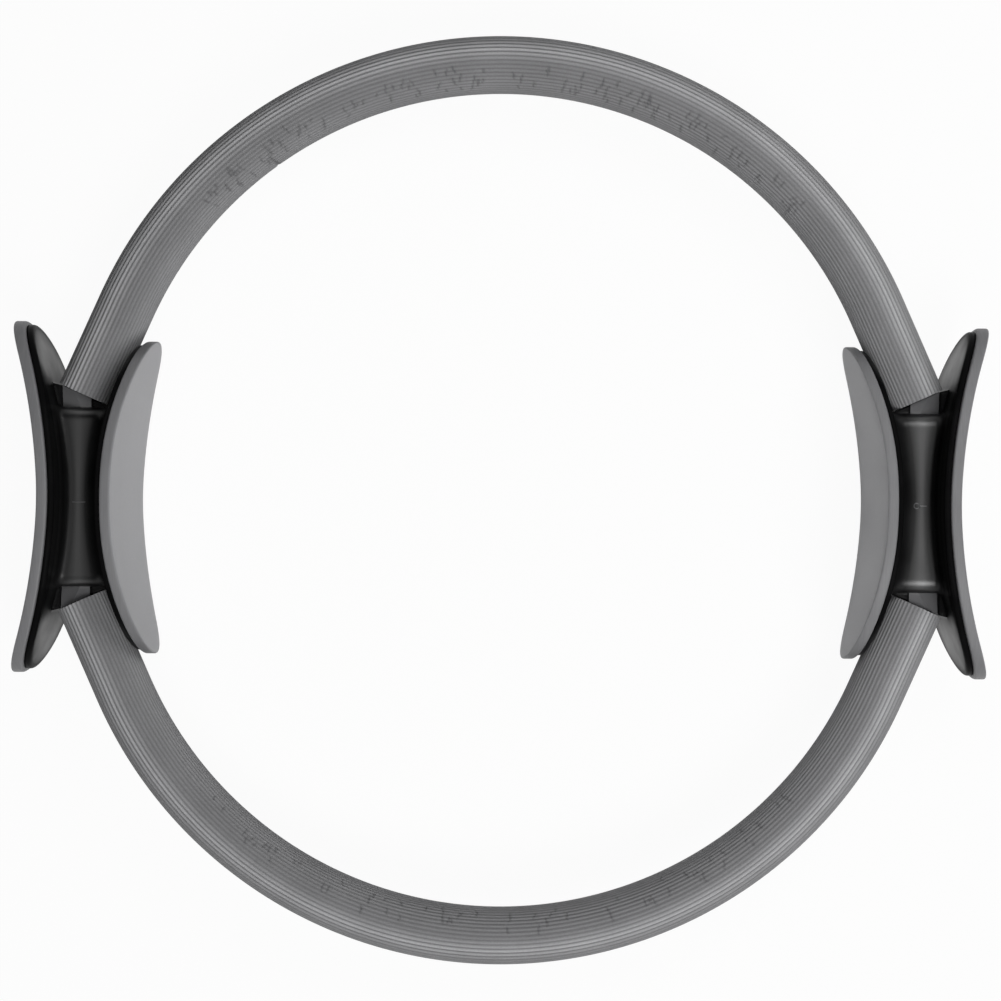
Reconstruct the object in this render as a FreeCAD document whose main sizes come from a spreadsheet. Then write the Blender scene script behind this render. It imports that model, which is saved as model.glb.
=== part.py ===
"""Pilates ring: two sprung arcs in ribbed foam, held by two handles with padded pressing faces.

The ring lies flat. Z is the ring's axis, X runs from the left handle to the right one, and the
origin is under the ring's centre, on the surface that the pad rims rest on. Lengths are in millimetres.
"""
import FreeCAD, Part
import math
import os

import Sketcher

# Driving dimensions: alias, value and meaning
SIZES = [
    ("socket_reach", 163.5, "from the ring's centre to the line of the sockets"),
    ("arc_tilt", 24.0, "degrees between an arc's straight end and the line of the sockets"),
    ("straight_run", 44.1, "from the end of an arc's round stretch to its corner at the handle"),
    ("mouth_depth", 0.5, "from a grip's end in to the corner, where a spring bends into its socket"),
    ("bend_radius", 25.0, "centre line radius of the bend at a handle's mouth"),
    ("foam_stand", 1.0, "from the end of the bend to the foam's end, which is cut square"),
    ("sleeve_diameter", 22.0, "outside of the foam sleeve, over its ribs"),
    ("rib_count", 42, "lengthwise ribs round the foam sleeve"),
    ("rib_depth", 0.35, "depth of the grooves between the ribs"),
    ("soft_clearance", 0.3, "gap between the foam and what is beside it"),
    ("leaf_width", 10.0, "width of a spring leaf, along the ring's axis"),
    ("leaf_thickness", 1.2, "thickness of a spring leaf"),
    ("leaf_gap", 0.2, "gap between two spring leaves"),
    ("sheath_clearance", 0.2, "gap between the spring leaves and their sheath"),
    ("sheath_wall", 0.8, "wall of the sheath round the spring leaves"),
    ("sheath_corner", 1.5, "outer corner radius of the sheath"),
    ("end_clearance", 0.5, "from the bottom of a socket to the spring that stands in it"),
    ("outer_stand", 9.0, "from the line of the sockets to the middle of an outer pad's face"),
    ("outer_curve", 155.0, "radius of an outer pad's hollow face"),
    ("outer_half_length", 68.0, "half the length of an outer pad"),
    ("inner_curve", 154.0, "radius of an inner pad's hollow face"),
    ("inner_half_length", 60.4, "half the length of an inner pad"),
    ("tip_clearance", 0.3, "gap between the tips of an inner flange and the foam sleeves"),
    ("pad_half_width", 32.5, "half the width of the pads, along the ring's axis"),
    ("pad_end_radius", 25.0, "radius of the rounded ends of the pads"),
    ("pad_flat", 20.0, "straight stretch in the middle of a pad's long sides"),
    ("pad_thickness", 4.2, "thickness of the foam pads"),
    ("pad_round", 0.8, "rounding of the edges of the pads"),
    ("glue_line", 0.1, "glue between a pad and its flange"),
    ("flange_thickness", 2.2, "thickness of a handle's flanges"),
    ("flange_margin", 1.4, "how far a pad stands out past the edge of its flange"),
    ("flange_round", 1.4, "rounding of the back edge of a flange"),
    ("grip_length", 69.0, "length of a handle's grip between its mouths"),
    ("grip_depth", 24.0, "depth of the grip, along the ring's axis"),
    ("grip_corner", 5.0, "corner radius of the grip's ends"),
    ("grip_crown", 5.0, "width of the grip's crown, half way up, between its hollow fillets"),
    ("outer_fillet", 2.6, "hollow fillet between the grip and the outer flange"),
    ("web_half", 3.0, "half the wall between the two sockets of a handle"),
    ("seat_clearance", 0.1, "gap between rigid pieces that are seated in each other"),
    ("bush_inner", 6.2, "from the line of the sockets to a mouth bush's inner side"),
    ("bush_outer", 5.1, "from the line of the sockets to a mouth bush's outer side"),
    ("bush_depth", 16.0, "depth of a mouth bush, along the ring's axis"),
    ("bush_seat", 8.0, "how far a mouth bush goes into the grip"),
    ("gusset_width", 7.0, "width of the gusset between a mouth bush and the inner flange"),
    ("gusset_reach", 9.5, "from the grip's end to the tip of the gusset on the outer flange"),
    ("crease_foot", 2.4, "from the line of the sockets in to the foot of a mouth bush's crease"),
    ("crease_head", 0.8, "from the line of the sockets out to the head of a mouth bush's crease"),
    ("bush_fall", 2.5, "how far a mouth bush's faces fall from the crease to the outer side"),
    ("screw_height", 14.0, "from the handle's middle to a retaining screw"),
    ("screw_diameter", 3.0, "shank of a retaining screw"),
    ("screw_cover", 1.5, "wall left between a retaining screw's point and the outer pad's seat"),
    ("screw_point", 2.0, "length of a retaining screw's point"),
    ("head_diameter", 6.0, "head of a retaining screw"),
    ("head_height", 2.0, "height of a retaining screw's head"),
    ("head_recess", 0.3, "depth of a screw's head below the flange's face"),
    ("screw_clearance", 0.3, "gap between a screw's shank and the springs that it holds"),
    ("overrun", 5.0, "how far a cutting shape runs past what it cuts"),
]

# A point counts as lying on a surface within this distance
ON_SURFACE = 0.01

# Quantities that follow from the driving dimensions
TILT_COS = "cos(Sheet.arc_tilt)"
TILT_SIN = "sin(Sheet.arc_tilt)"
GRIP_HALF = "(Sheet.grip_length / 2)"
CORNER_Y = f"({GRIP_HALF} - Sheet.mouth_depth)"
ARC_RADIUS = f"((Sheet.socket_reach - Sheet.straight_run * {TILT_SIN}) / {TILT_COS})"
ARC_END_Y = f"({CORNER_Y} + Sheet.straight_run * {TILT_COS})"
ARC_OFFSET = f"({ARC_END_Y} - {ARC_RADIUS} * {TILT_SIN})"
ARC_TOP = f"({ARC_OFFSET} + {ARC_RADIUS})"
BEND_RUN = "(Sheet.bend_radius * tan(Sheet.arc_tilt / 2))"
FOAM_RUN = f"({BEND_RUN} + Sheet.foam_stand)"
FOAM_SHIFT = f"({FOAM_RUN} * {TILT_SIN})"
FOAM_Y = f"({CORNER_Y} + {FOAM_RUN} * {TILT_COS})"
SPRING_END_Y = "(Sheet.web_half + Sheet.end_clearance)"

LEAF_STEP = "(Sheet.leaf_thickness + Sheet.leaf_gap)"
CORE_THICKNESS = f"(2 * {LEAF_STEP} + Sheet.leaf_thickness + 2 * Sheet.sheath_clearance)"
CORE_WIDTH = "(Sheet.leaf_width + 2 * Sheet.sheath_clearance)"
SHEATH_THICKNESS = f"({CORE_THICKNESS} + 2 * Sheet.sheath_wall)"
SHEATH_WIDTH = f"({CORE_WIDTH} + 2 * Sheet.sheath_wall)"

PAD_BACK = "(Sheet.pad_thickness + Sheet.glue_line)"
FLANGE_BACK = f"({PAD_BACK} + Sheet.flange_thickness)"
FLANGE_MIDDLE = f"({PAD_BACK} + Sheet.flange_thickness / 2)"
OUTER_CENTRE = "(Sheet.socket_reach + Sheet.outer_stand + Sheet.outer_curve)"

# The tips of an inner flange stand just clear of the foam's straight ends
TIP_Y = "(Sheet.inner_half_length - Sheet.flange_margin)"
TIP_LEAN = f"(({TIP_Y} - {CORNER_Y}) * tan(Sheet.arc_tilt))"
TIP_STAND = f"((Sheet.sleeve_diameter / 2 + Sheet.tip_clearance) / {TILT_COS})"
TIP_RISE = f"sqrt((Sheet.inner_curve + {FLANGE_BACK})^2 - {TIP_Y}^2)"
INNER_CENTRE = f"(Sheet.socket_reach - {TIP_LEAN} - {TIP_STAND} - {TIP_RISE})"

# The inner fillet takes what the crown and the outer fillet leave between the flanges' backs
OUTER_BACK_X = f"({OUTER_CENTRE} - Sheet.outer_curve - {FLANGE_BACK})"
INNER_BACK_X = f"({INNER_CENTRE} + Sheet.inner_curve + {FLANGE_BACK})"
INNER_FILLET = f"({OUTER_BACK_X} - {INNER_BACK_X} - Sheet.grip_crown - Sheet.outer_fillet)"

SCREW_FACE_RISE = f"sqrt((Sheet.inner_curve + {PAD_BACK})^2 - Sheet.screw_height^2)"
SCREW_FACE_X = f"({INNER_CENTRE} + {SCREW_FACE_RISE})"
SCREW_SEAT_X = f"({SCREW_FACE_X} + Sheet.head_recess + Sheet.head_height)"
SCREW_BACK_RISE = f"sqrt((Sheet.outer_curve + {PAD_BACK})^2 - Sheet.screw_height^2)"
SCREW_END_X = f"({OUTER_CENTRE} - {SCREW_BACK_RISE} - Sheet.screw_cover)"
SCREW_LENGTH = f"({SCREW_END_X} - {SCREW_SEAT_X})"

X_AXIS = FreeCAD.Vector(1, 0, 0)
Y_AXIS = FreeCAD.Vector(0, 1, 0)
Z_AXIS = FreeCAD.Vector(0, 0, 1)
ORIGIN = FreeCAD.Vector(0, 0, 0)

# How a piece that is drawn at the upper right is turned to its place
TURNS = {
    "right": FreeCAD.Rotation(),
    "left": FreeCAD.Rotation(Z_AXIS, 180),
    "upper": FreeCAD.Rotation(),
    "lower": FreeCAD.Rotation(Z_AXIS, 180),
    "upper_right": FreeCAD.Rotation(),
    "upper_left": FreeCAD.Rotation(Y_AXIS, 180),
    "lower_right": FreeCAD.Rotation(X_AXIS, 180),
    "lower_left": FreeCAD.Rotation(Z_AXIS, 180),
}
ACROSS_X = FreeCAD.Rotation(Y_AXIS, 90)
FACING_X = FreeCAD.Rotation(Y_AXIS, Z_AXIS, X_AXIS, "XYZ")

doc = FreeCAD.newDocument("pilates_ring")
sheet = doc.addObject("Spreadsheet::Sheet", "Sheet")
for row, (alias, size, meaning) in enumerate(SIZES, start=1):
    sheet.set(f"A{row}", meaning)
    sheet.set(f"B{row}", str(size))
    sheet.setAlias(f"B{row}", alias)
doc.recompute()


def value(expression):
    """Return the number that an expression of the sheet's cells gives."""
    return float(sheet.evalExpression(expression))


def bind(item, **expressions):
    """Bind properties of an object to expressions of the sheet's cells."""
    for name, expression in expressions.items():
        item.setExpression(name, expression)


def place(item, turn, **bases):
    """Turn an object and bind the coordinates of its base to expressions."""
    item.Placement = FreeCAD.Placement(ORIGIN, turn)
    for axis, expression in bases.items():
        item.setExpression(f"Placement.Base.{axis}", expression)


def finish(item, label, turn):
    """Name a finished sub-part, turn it to its place and lift it onto its pads' rims."""
    item.Label = label
    place(item, TURNS[turn], z="Sheet.pad_half_width")
    return item


# Sketch helpers: a segment is its number in the sketch and its first and last points


def point(x, y):
    """Return a point of a sketch."""
    return FreeCAD.Vector(x, y, 0)


def line(sketch, first, last):
    """Add a straight segment."""
    return sketch.addGeometry(Part.LineSegment(first, last)), 1, 2


def arc(sketch, centre, radius, first, last):
    """Add an arc from one angle to another, in degrees, either way round."""
    circle = Part.Circle(centre, Z_AXIS, radius)
    low, high = math.radians(min(first, last)), math.radians(max(first, last))
    number = sketch.addGeometry(Part.ArcOfCircle(circle, low, high))
    return (number, 1, 2) if last > first else (number, 2, 1)


def measure(sketch, kind, expression, *places):
    """Add a dimension and bind it to an expression."""
    number = sketch.addConstraint(Sketcher.Constraint(kind, *places, value(expression)))
    sketch.renameConstraint(number, f"size_{number}")
    sketch.setExpression(f"Constraints.size_{number}", expression)


def reach(sketch, kind, segment, end, expression):
    """Dimension a point of a segment from the sketch's origin, along one axis."""
    if value(expression) >= 0:
        measure(sketch, kind, expression, -1, 1, segment[0], end)
    else:
        measure(sketch, kind, f"-{expression}", segment[0], end, -1, 1)


def join(sketch, kind, segments, closed):
    """Join each segment's end to the next one's start, Coincident or Tangent."""
    following = segments[1:] + segments[:1] if closed else segments[1:]
    for one, other in zip(segments, following):
        sketch.addConstraint(Sketcher.Constraint(kind, one[0], one[2], other[0], other[1]))


def plane(body, role):
    """Return one of a body's own origin planes."""
    return next(item for item in body.Origin.OriginFeatures if item.Role == role)


def sketch_on(body, name, role):
    """Add a sketch on one of a body's origin planes."""
    sketch = body.newObject("Sketcher::SketchObject", name)
    sketch.AttachmentSupport = (plane(body, role), [""])
    sketch.MapMode = "FlatFace"
    return sketch


def draw_rectangle(sketch, low_x, high_x, half_y):
    """Draw a rectangle between two X expressions, centred on the sketch's X axis."""
    left, right, top = value(low_x), value(high_x), value(half_y)
    corners = [point(left, -top), point(right, -top), point(right, top), point(left, top)]
    sides = [line(sketch, one, other) for one, other in zip(corners, corners[1:] + corners[:1])]
    join(sketch, "Coincident", sides, closed=True)
    for side, kind in zip(sides, ("Horizontal", "Vertical") * 2):
        sketch.addConstraint(Sketcher.Constraint(kind, side[0]))
    reach(sketch, "DistanceX", sides[3], 1, low_x)
    reach(sketch, "DistanceX", sides[1], 1, high_x)
    reach(sketch, "DistanceY", sides[2], 1, half_y)
    reach(sketch, "DistanceY", sides[0], 1, f"-{half_y}")


def draw_polygon(sketch, corners):
    """Draw straight sides between corners that are given as pairs of expressions."""
    spots = [point(value(x), value(y)) for x, y in corners]
    sides = [line(sketch, one, other) for one, other in zip(spots, spots[1:] + spots[:1])]
    join(sketch, "Coincident", sides, closed=True)
    for side, (x, y) in zip(sides, corners):
        reach(sketch, "DistanceX", side, 1, x)
        reach(sketch, "DistanceY", side, 1, y)


def draw_rounded_rectangle(sketch, middle_x, half_x, half_y, corner):
    """Draw a rectangle with rounded corners, centred on the sketch's X axis."""
    centre, across, along, radius = value(middle_x), value(half_x), value(half_y), value(corner)
    turns = [(1, -1, -90), (1, 1, 0), (-1, 1, 90), (-1, -1, 180)]
    rounds = []
    for side, end, start in turns:
        middle = point(centre + side * (across - radius), end * (along - radius))
        rounds.append((middle, start))
    segments = []
    for number, (middle, start) in enumerate(rounds):
        segments.append(arc(sketch, middle, radius, start, start + 90))
        following, onward = rounds[(number + 1) % len(rounds)]
        turn = FreeCAD.Vector(math.cos(math.radians(onward)), math.sin(math.radians(onward)), 0)
        segments.append(line(sketch, middle + turn * radius, following + turn * radius))
    join(sketch, "Tangent", segments, closed=True)
    arcs, sides = segments[0::2], segments[1::2]
    measure(sketch, "Radius", corner, arcs[0][0])
    for other in arcs[1:]:
        sketch.addConstraint(Sketcher.Constraint("Equal", arcs[0][0], other[0]))
    sketch.addConstraint(Sketcher.Constraint("Vertical", sides[0][0]))
    reach(sketch, "DistanceX", sides[0], 1, f"({middle_x} + {half_x})")
    reach(sketch, "DistanceX", sides[2], 1, f"({middle_x} - {half_x})")
    reach(sketch, "DistanceY", sides[1], 1, half_y)
    reach(sketch, "DistanceY", sides[3], 1, f"-{half_y}")


def draw_core_path(sketch):
    """Draw half of a spring's centre line: arc, straight end, bend at the mouth, run in the socket."""
    radius, offset, tilt = value(ARC_RADIUS), value(ARC_OFFSET), value("Sheet.arc_tilt")
    bend, line_x = value("Sheet.bend_radius"), value("Sheet.socket_reach")
    bend_y = value(CORNER_Y) - value(BEND_RUN)
    onward = point(math.sin(math.radians(tilt)), -math.cos(math.radians(tilt)))
    arc_end = point(radius * math.cos(math.radians(tilt)), value(ARC_END_Y))
    straight_end = arc_end + onward * (value("Sheet.straight_run") - value(BEND_RUN))
    segments = [
        arc(sketch, point(0, offset), radius, 90, tilt),
        line(sketch, arc_end, straight_end),
        arc(sketch, point(line_x - bend, bend_y), bend, tilt, 0),
        line(sketch, point(line_x, bend_y), point(line_x, value(SPRING_END_Y))),
    ]
    main, straight, mouth, run = segments
    join(sketch, "Tangent", segments, closed=False)
    sketch.addConstraint(Sketcher.Constraint("PointOnObject", main[0], 3, -2))
    sketch.addConstraint(Sketcher.Constraint("PointOnObject", main[0], main[1], -2))
    sketch.addConstraint(Sketcher.Constraint("Vertical", run[0]))
    reach(sketch, "DistanceY", main, 3, ARC_OFFSET)
    reach(sketch, "DistanceY", straight, 1, ARC_END_Y)
    measure(sketch, "Radius", ARC_RADIUS, main[0])
    measure(sketch, "Radius", "Sheet.bend_radius", mouth[0])
    reach(sketch, "DistanceX", run, 2, "Sheet.socket_reach")
    reach(sketch, "DistanceY", run, 2, SPRING_END_Y)
    return [f"Edge{number}" for number in range(1, len(segments) + 1)]


def drill_ends(body):
    """Drill the holes for the retaining screws through a spring piece's two ends."""
    doc.recompute()
    sketch = sketch_on(body, "screw_holes", "YZ_Plane")
    radius = "(Sheet.screw_diameter / 2 + Sheet.screw_clearance)"
    centre = point(value("Sheet.screw_height"), 0)
    hole = sketch.addGeometry(Part.Circle(centre, Z_AXIS, value(radius))), 3, 3
    sketch.addConstraint(Sketcher.Constraint("PointOnObject", hole[0], 3, -1))
    reach(sketch, "DistanceX", hole, 3, "Sheet.screw_height")
    measure(sketch, "Radius", radius, hole[0])
    pocket = body.newObject("PartDesign::Pocket", "screw_pocket")
    pocket.Profile = sketch
    pocket.Midplane = True
    bind(pocket, Length="2 * (Sheet.socket_reach + Sheet.overrun)")
    body.Tip = pocket


def spring_piece(label, side, draw_section):
    """Sweep a section along half of a spring's centre line, mirror it and drill it."""
    body = doc.addObject("PartDesign::Body", label)
    path = sketch_on(body, "centre_line", "XY_Plane")
    edges = draw_core_path(path)
    section = sketch_on(body, "section", "YZ_Plane")
    draw_section(section)
    doc.recompute()
    half = body.newObject("PartDesign::AdditivePipe", "half")
    half.Profile = section
    half.Spine = (path, edges)
    doc.recompute()
    whole = body.newObject("PartDesign::Mirrored", "whole")
    whole.Originals = [half]
    whole.MirrorPlane = (plane(body, "YZ_Plane"), [""])
    body.Tip = whole
    drill_ends(body)
    return finish(body, label, side)


def spring_leaf(label, side, step):
    """Make one flat spring leaf, a number of steps out from the middle one."""
    middle = f"({ARC_TOP} + {step} * {LEAF_STEP})"
    low, high = (f"({middle} {sign} Sheet.leaf_thickness / 2)" for sign in "-+")
    return spring_piece(
        label, side, lambda sketch: draw_rectangle(sketch, low, high, "(Sheet.leaf_width / 2)")
    )


def core_sheath(label, side):
    """Make the plastic sheath that holds three spring leaves together."""
    low, high = (f"({ARC_TOP} {sign} {CORE_THICKNESS} / 2)" for sign in "-+")

    def draw_section(sketch):
        half_x, half_y = f"({SHEATH_THICKNESS} / 2)", f"({SHEATH_WIDTH} / 2)"
        draw_rounded_rectangle(sketch, ARC_TOP, half_x, half_y, "Sheet.sheath_corner")
        draw_rectangle(sketch, low, high, f"({CORE_WIDTH} / 2)")

    return spring_piece(label, side, draw_section)


def ribbed_section():
    """Return the foam sleeve's section at the top of its arc: a ring of ribs round the bore."""
    top, count = value(ARC_TOP), int(value("Sheet.rib_count"))
    crest = value("Sheet.sleeve_diameter") / 2
    root = crest - value("Sheet.rib_depth")
    corner = value("Sheet.sheath_corner")
    reach_y = value(SHEATH_THICKNESS) / 2 - corner
    reach_z = value(SHEATH_WIDTH) / 2 - corner
    bore = math.hypot(reach_y, reach_z) + corner + value("Sheet.soft_clearance")

    def at(radius, share):
        turn = 2 * math.pi * share / count
        return FreeCAD.Vector(0, top + radius * math.cos(turn), radius * math.sin(turn))

    ribs = [Part.Arc(at(root, rib), at(crest, rib + 0.5), at(root, rib + 1)) for rib in range(count)]
    outline = Part.Wire([rib.toShape() for rib in ribs])
    hole = Part.Wire([Part.makeCircle(bore, FreeCAD.Vector(0, top, 0), X_AXIS)])
    return Part.Face([outline, hole], "Part::FaceMakerBullseye")


def foam_sleeve(label, side):
    """Make a ribbed foam sleeve: an arc with two straight ends, each cut square at its handle."""
    tilt, centre = value("Sheet.arc_tilt"), FreeCAD.Vector(0, value(ARC_OFFSET), 0)
    sweep = 90 - tilt
    section = ribbed_section()
    section.rotate(centre, Z_AXIS, sweep)
    main = section.revolve(centre, Z_AXIS, -2 * sweep)
    ends = []
    for sign in (1, -1):
        end = ribbed_section()
        end.rotate(centre, Z_AXIS, sign * sweep)
        onward = FreeCAD.Vector(-sign * math.sin(math.radians(tilt)), -math.cos(math.radians(tilt)), 0)
        ends.append(end.extrude(onward * value(f"Sheet.straight_run - {FOAM_RUN}")))
    sleeve = doc.addObject("Part::Feature", label)
    sleeve.Shape = main.fuse(ends)
    return finish(sleeve, label, side)


def draw_oval(sketch, half_length, inset):
    """Draw a pad's outline, or one inside it: straight in the middle of its long sides, with rounded ends."""
    half_length, half_width, end_radius = (
        f"({size} - {inset})" for size in (half_length, "Sheet.pad_half_width", "Sheet.pad_end_radius")
    )
    reach_x, reach_y = value(half_length), value(half_width)
    end, flat = value(end_radius), value("Sheet.pad_flat") / 2
    run = reach_x - end - flat
    side = (run**2 + reach_y**2 - end**2) / (2 * (reach_y - end))
    turn = math.degrees(math.atan2(run, side - reach_y))
    right, left = point(reach_x - end, 0), point(end - reach_x, 0)
    corners = [point(x, y) for x, y in ((flat, side - reach_y), (flat, reach_y - side))]
    corners += [point(-corner.x, corner.y) for corner in reversed(corners)]
    segments = [
        line(sketch, point(-flat, -reach_y), point(flat, -reach_y)),
        arc(sketch, corners[0], side, -90, turn - 90),
        arc(sketch, right, end, turn - 90, 90 - turn),
        arc(sketch, corners[1], side, 90 - turn, 90),
        line(sketch, point(flat, reach_y), point(-flat, reach_y)),
        arc(sketch, corners[2], side, 90, 90 + turn),
        arc(sketch, left, end, 90 + turn, 270 - turn),
        arc(sketch, corners[3], side, 270 - turn, 270),
    ]
    join(sketch, "Tangent", segments, closed=True)
    for number, sign in ((0, "-"), (4, "")):
        straight = segments[number]
        sketch.addConstraint(Sketcher.Constraint("Symmetric", straight[0], 1, straight[0], 2, -2))
        reach(sketch, "DistanceY", straight, 1, f"{sign}{half_width}")
        measure(sketch, "Distance", "Sheet.pad_flat", straight[0])
    for number, sign in ((2, ""), (6, "-")):
        rounded = segments[number]
        sketch.addConstraint(Sketcher.Constraint("PointOnObject", rounded[0], 3, -1))
        reach(sketch, "DistanceX", rounded, 3, f"{sign}({half_length} - {end_radius})")
        measure(sketch, "Radius", end_radius, rounded[0])


def cylinder(name, centre, radius, half_height):
    """Make an upright cylinder about the ring's mid-plane."""
    item = doc.addObject("Part::Cylinder", name)
    bind(item, Radius=radius, Height=f"2 * {half_height}")
    place(item, FreeCAD.Rotation(), x=centre, z=f"-{half_height}")
    return item


def combine(kind, name, base, tool):
    """Combine two shapes with Part::Cut or Part::Common."""
    item = doc.addObject(kind, name)
    item.Base = base
    item.Tool = tool
    return item


def fuse(name, shapes):
    """Fuse a list of shapes."""
    item = doc.addObject("Part::MultiFuse", name)
    item.Shapes = shapes
    return item


def curved_plate(name, centre, radii, half_length, inset):
    """Make a plate with a pad's outline or one inside it, curved about an axis parallel to the ring's."""
    outline = doc.addObject("Sketcher::SketchObject", f"{name}_outline")
    outline.Placement = FreeCAD.Placement(ORIGIN, FACING_X)
    draw_oval(outline, half_length, inset)
    blank = doc.addObject("Part::Extrusion", f"{name}_blank")
    blank.Base = outline
    blank.DirMode = "Normal"
    blank.Solid = True
    bind(blank, LengthFwd="2 * Sheet.socket_reach")
    height = "(Sheet.pad_half_width + Sheet.overrun)"
    near, far = (cylinder(f"{name}_{end}", centre, radius, height) for end, radius in zip("ab", radii))
    shell = combine("Part::Cut", f"{name}_shell", far, near)
    return combine("Part::Common", name, blank, shell)


def round_edges(name, base, rounds):
    """Round the edges that pass each test, with the radius that goes with it."""
    doc.recompute()
    chosen = []
    for number, edge in enumerate(base.Shape.Edges, start=1):
        middle = edge.valueAt((edge.FirstParameter + edge.LastParameter) / 2)
        radius = next((value(size) for test, size in rounds if test(middle)), None)
        if radius is not None:
            chosen.append((number, radius, radius))
    item = doc.addObject("Part::Fillet", name)
    item.Base = base
    item.Edges = chosen
    return item


def on_curve(centre, radius):
    """Return a test of whether a point lies on a curved face about an axis parallel to the ring's."""
    middle, size = value(centre), value(radius)
    return lambda spot: abs(math.hypot(spot.x - middle, spot.y) - size) < ON_SURFACE


# The hollow faces of a handle: name, axis, radius of the pad's face and half the pad's length
FACES = {
    "outer": (OUTER_CENTRE, "Sheet.outer_curve", "Sheet.outer_half_length"),
    "inner": (INNER_CENTRE, "Sheet.inner_curve", "Sheet.inner_half_length"),
}


def pad(side, face):
    """Make one of a handle's foam pads."""
    centre, curve, half_length = FACES[face]
    label = f"{side}_{face}_pad"
    back = f"({curve} + Sheet.pad_thickness)"
    plate = curved_plate(f"{label}_plate", centre, (curve, back), half_length, "0")
    on_face, on_back = on_curve(centre, curve), on_curve(centre, back)
    rounds = [(on_face, "Sheet.pad_round"), (on_back, "Sheet.pad_round")]
    return finish(round_edges(label, plate, rounds), label, side)


def flange(side, face):
    """Make the plate of a handle that carries a pad."""
    centre, curve, half_length = FACES[face]
    radii = (f"({curve} + {PAD_BACK})", f"({curve} + {FLANGE_BACK})")
    return curved_plate(f"{side}_{face}_flange", centre, radii, half_length, "Sheet.flange_margin")


def grip(side):
    """Make a handle's grip, which runs into the middle of both flanges."""
    outline = doc.addObject("Sketcher::SketchObject", f"{side}_grip_outline")
    half = value(GRIP_HALF)
    centres, radii, points = [], [], []
    for (centre, curve, _), sign in zip(FACES.values(), (-1, 1)):
        centres.append(centre)
        radii.append(f"({curve} + {FLANGE_MIDDLE})")
        across = math.sqrt(value(radii[-1]) ** 2 - half**2)
        points.append((value(centre) + sign * across, math.degrees(math.asin(half / value(radii[-1])))))
    (outer_x, outer_turn), (inner_x, inner_turn) = points
    segments = [
        arc(outline, point(value(centres[0]), 0), value(radii[0]), 180 + outer_turn, 180 - outer_turn),
        line(outline, point(outer_x, half), point(inner_x, half)),
        arc(outline, point(value(centres[1]), 0), value(radii[1]), inner_turn, -inner_turn),
        line(outline, point(inner_x, -half), point(outer_x, -half)),
    ]
    join(outline, "Coincident", segments, closed=True)
    for number, sign in ((1, ""), (3, "-")):
        outline.addConstraint(Sketcher.Constraint("Horizontal", segments[number][0]))
        reach(outline, "DistanceY", segments[number], 1, f"{sign}{GRIP_HALF}")
    for number, centre, radius in zip((0, 2), centres, radii):
        outline.addConstraint(Sketcher.Constraint("PointOnObject", segments[number][0], 3, -1))
        reach(outline, "DistanceX", segments[number], 3, centre)
        measure(outline, "Radius", radius, segments[number][0])
    slab = doc.addObject("Part::Extrusion", f"{side}_grip_slab")
    slab.Base = outline
    slab.DirMode = "Normal"
    slab.Solid = True
    slab.Symmetric = True
    bind(slab, LengthFwd="Sheet.grip_depth + 2 * Sheet.overrun")
    front = doc.addObject("Sketcher::SketchObject", f"{side}_grip_front")
    front.Placement = FreeCAD.Placement(ORIGIN, FACING_X)
    draw_rounded_rectangle(front, "(0)", GRIP_HALF, "(Sheet.grip_depth / 2)", "Sheet.grip_corner")
    bar = doc.addObject("Part::Extrusion", f"{side}_grip_bar")
    bar.Base = front
    bar.DirMode = "Normal"
    bar.Solid = True
    bind(bar, LengthFwd="2 * Sheet.socket_reach")
    return combine("Part::Common", f"{side}_grip", slab, bar)


def block(name, columns, rows, half_depth):
    """Make a box between two X and two Y expressions, centred on the ring's mid-plane."""
    item = doc.addObject("Part::Box", name)
    length, width = (f"({far}) - ({near})" for near, far in (columns, rows))
    bind(item, Length=length, Width=width, Height=f"2 * {half_depth}")
    place(item, FreeCAD.Rotation(), x=columns[0], y=rows[0], z=f"-{half_depth}")
    return item


def rod(name, first_x, length, radius, height):
    """Make a cylinder along X at a height on the handle."""
    item = doc.addObject("Part::Cylinder", name)
    bind(item, Radius=radius, Height=length)
    place(item, ACROSS_X, x=first_x, y=height)
    return item


def handle_cavities(side):
    """Make the shapes that are cut from a handle: sockets, bush seats and screw holes."""
    shapes = []
    for end, sign in (("upper", ""), ("lower", "-")):
        name = f"{side}_{end}"
        half = f"({SHEATH_THICKNESS} / 2 + Sheet.seat_clearance)"
        depth = f"({SHEATH_WIDTH} / 2 + Sheet.seat_clearance)"
        columns = (f"Sheet.socket_reach - {half}", f"Sheet.socket_reach + {half}")
        rows = ["Sheet.web_half", f"({GRIP_HALF} + Sheet.overrun)"]
        seat_columns = (
            "Sheet.socket_reach - Sheet.bush_inner - Sheet.seat_clearance",
            "Sheet.socket_reach + Sheet.bush_outer + Sheet.seat_clearance",
        )
        seat_rows = [f"({GRIP_HALF} - Sheet.bush_seat - Sheet.seat_clearance)", rows[1]]
        seat_depth = "(Sheet.bush_depth / 2 + Sheet.seat_clearance)"
        if sign:
            rows = [f"-{row}" for row in reversed(rows)]
            seat_rows = [f"-{row}" for row in reversed(seat_rows)]
        shapes.append(block(f"{name}_socket", columns, rows, depth))
        shapes.append(block(f"{name}_seat", seat_columns, seat_rows, seat_depth))
        height = f"{sign}Sheet.screw_height"
        shank = "Sheet.screw_diameter / 2 + Sheet.seat_clearance"
        length = f"{SCREW_LENGTH} + Sheet.seat_clearance"
        shapes.append(rod(f"{name}_shank_hole", SCREW_SEAT_X, length, shank, height))
        head = "Sheet.head_diameter / 2 + Sheet.seat_clearance"
        first = f"{SCREW_FACE_X} - Sheet.overrun"
        depth_x = "Sheet.overrun + Sheet.head_recess + Sheet.head_height"
        shapes.append(rod(f"{name}_head_hole", first, depth_x, head, height))
    return fuse(f"{side}_cavities", shapes)


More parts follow.
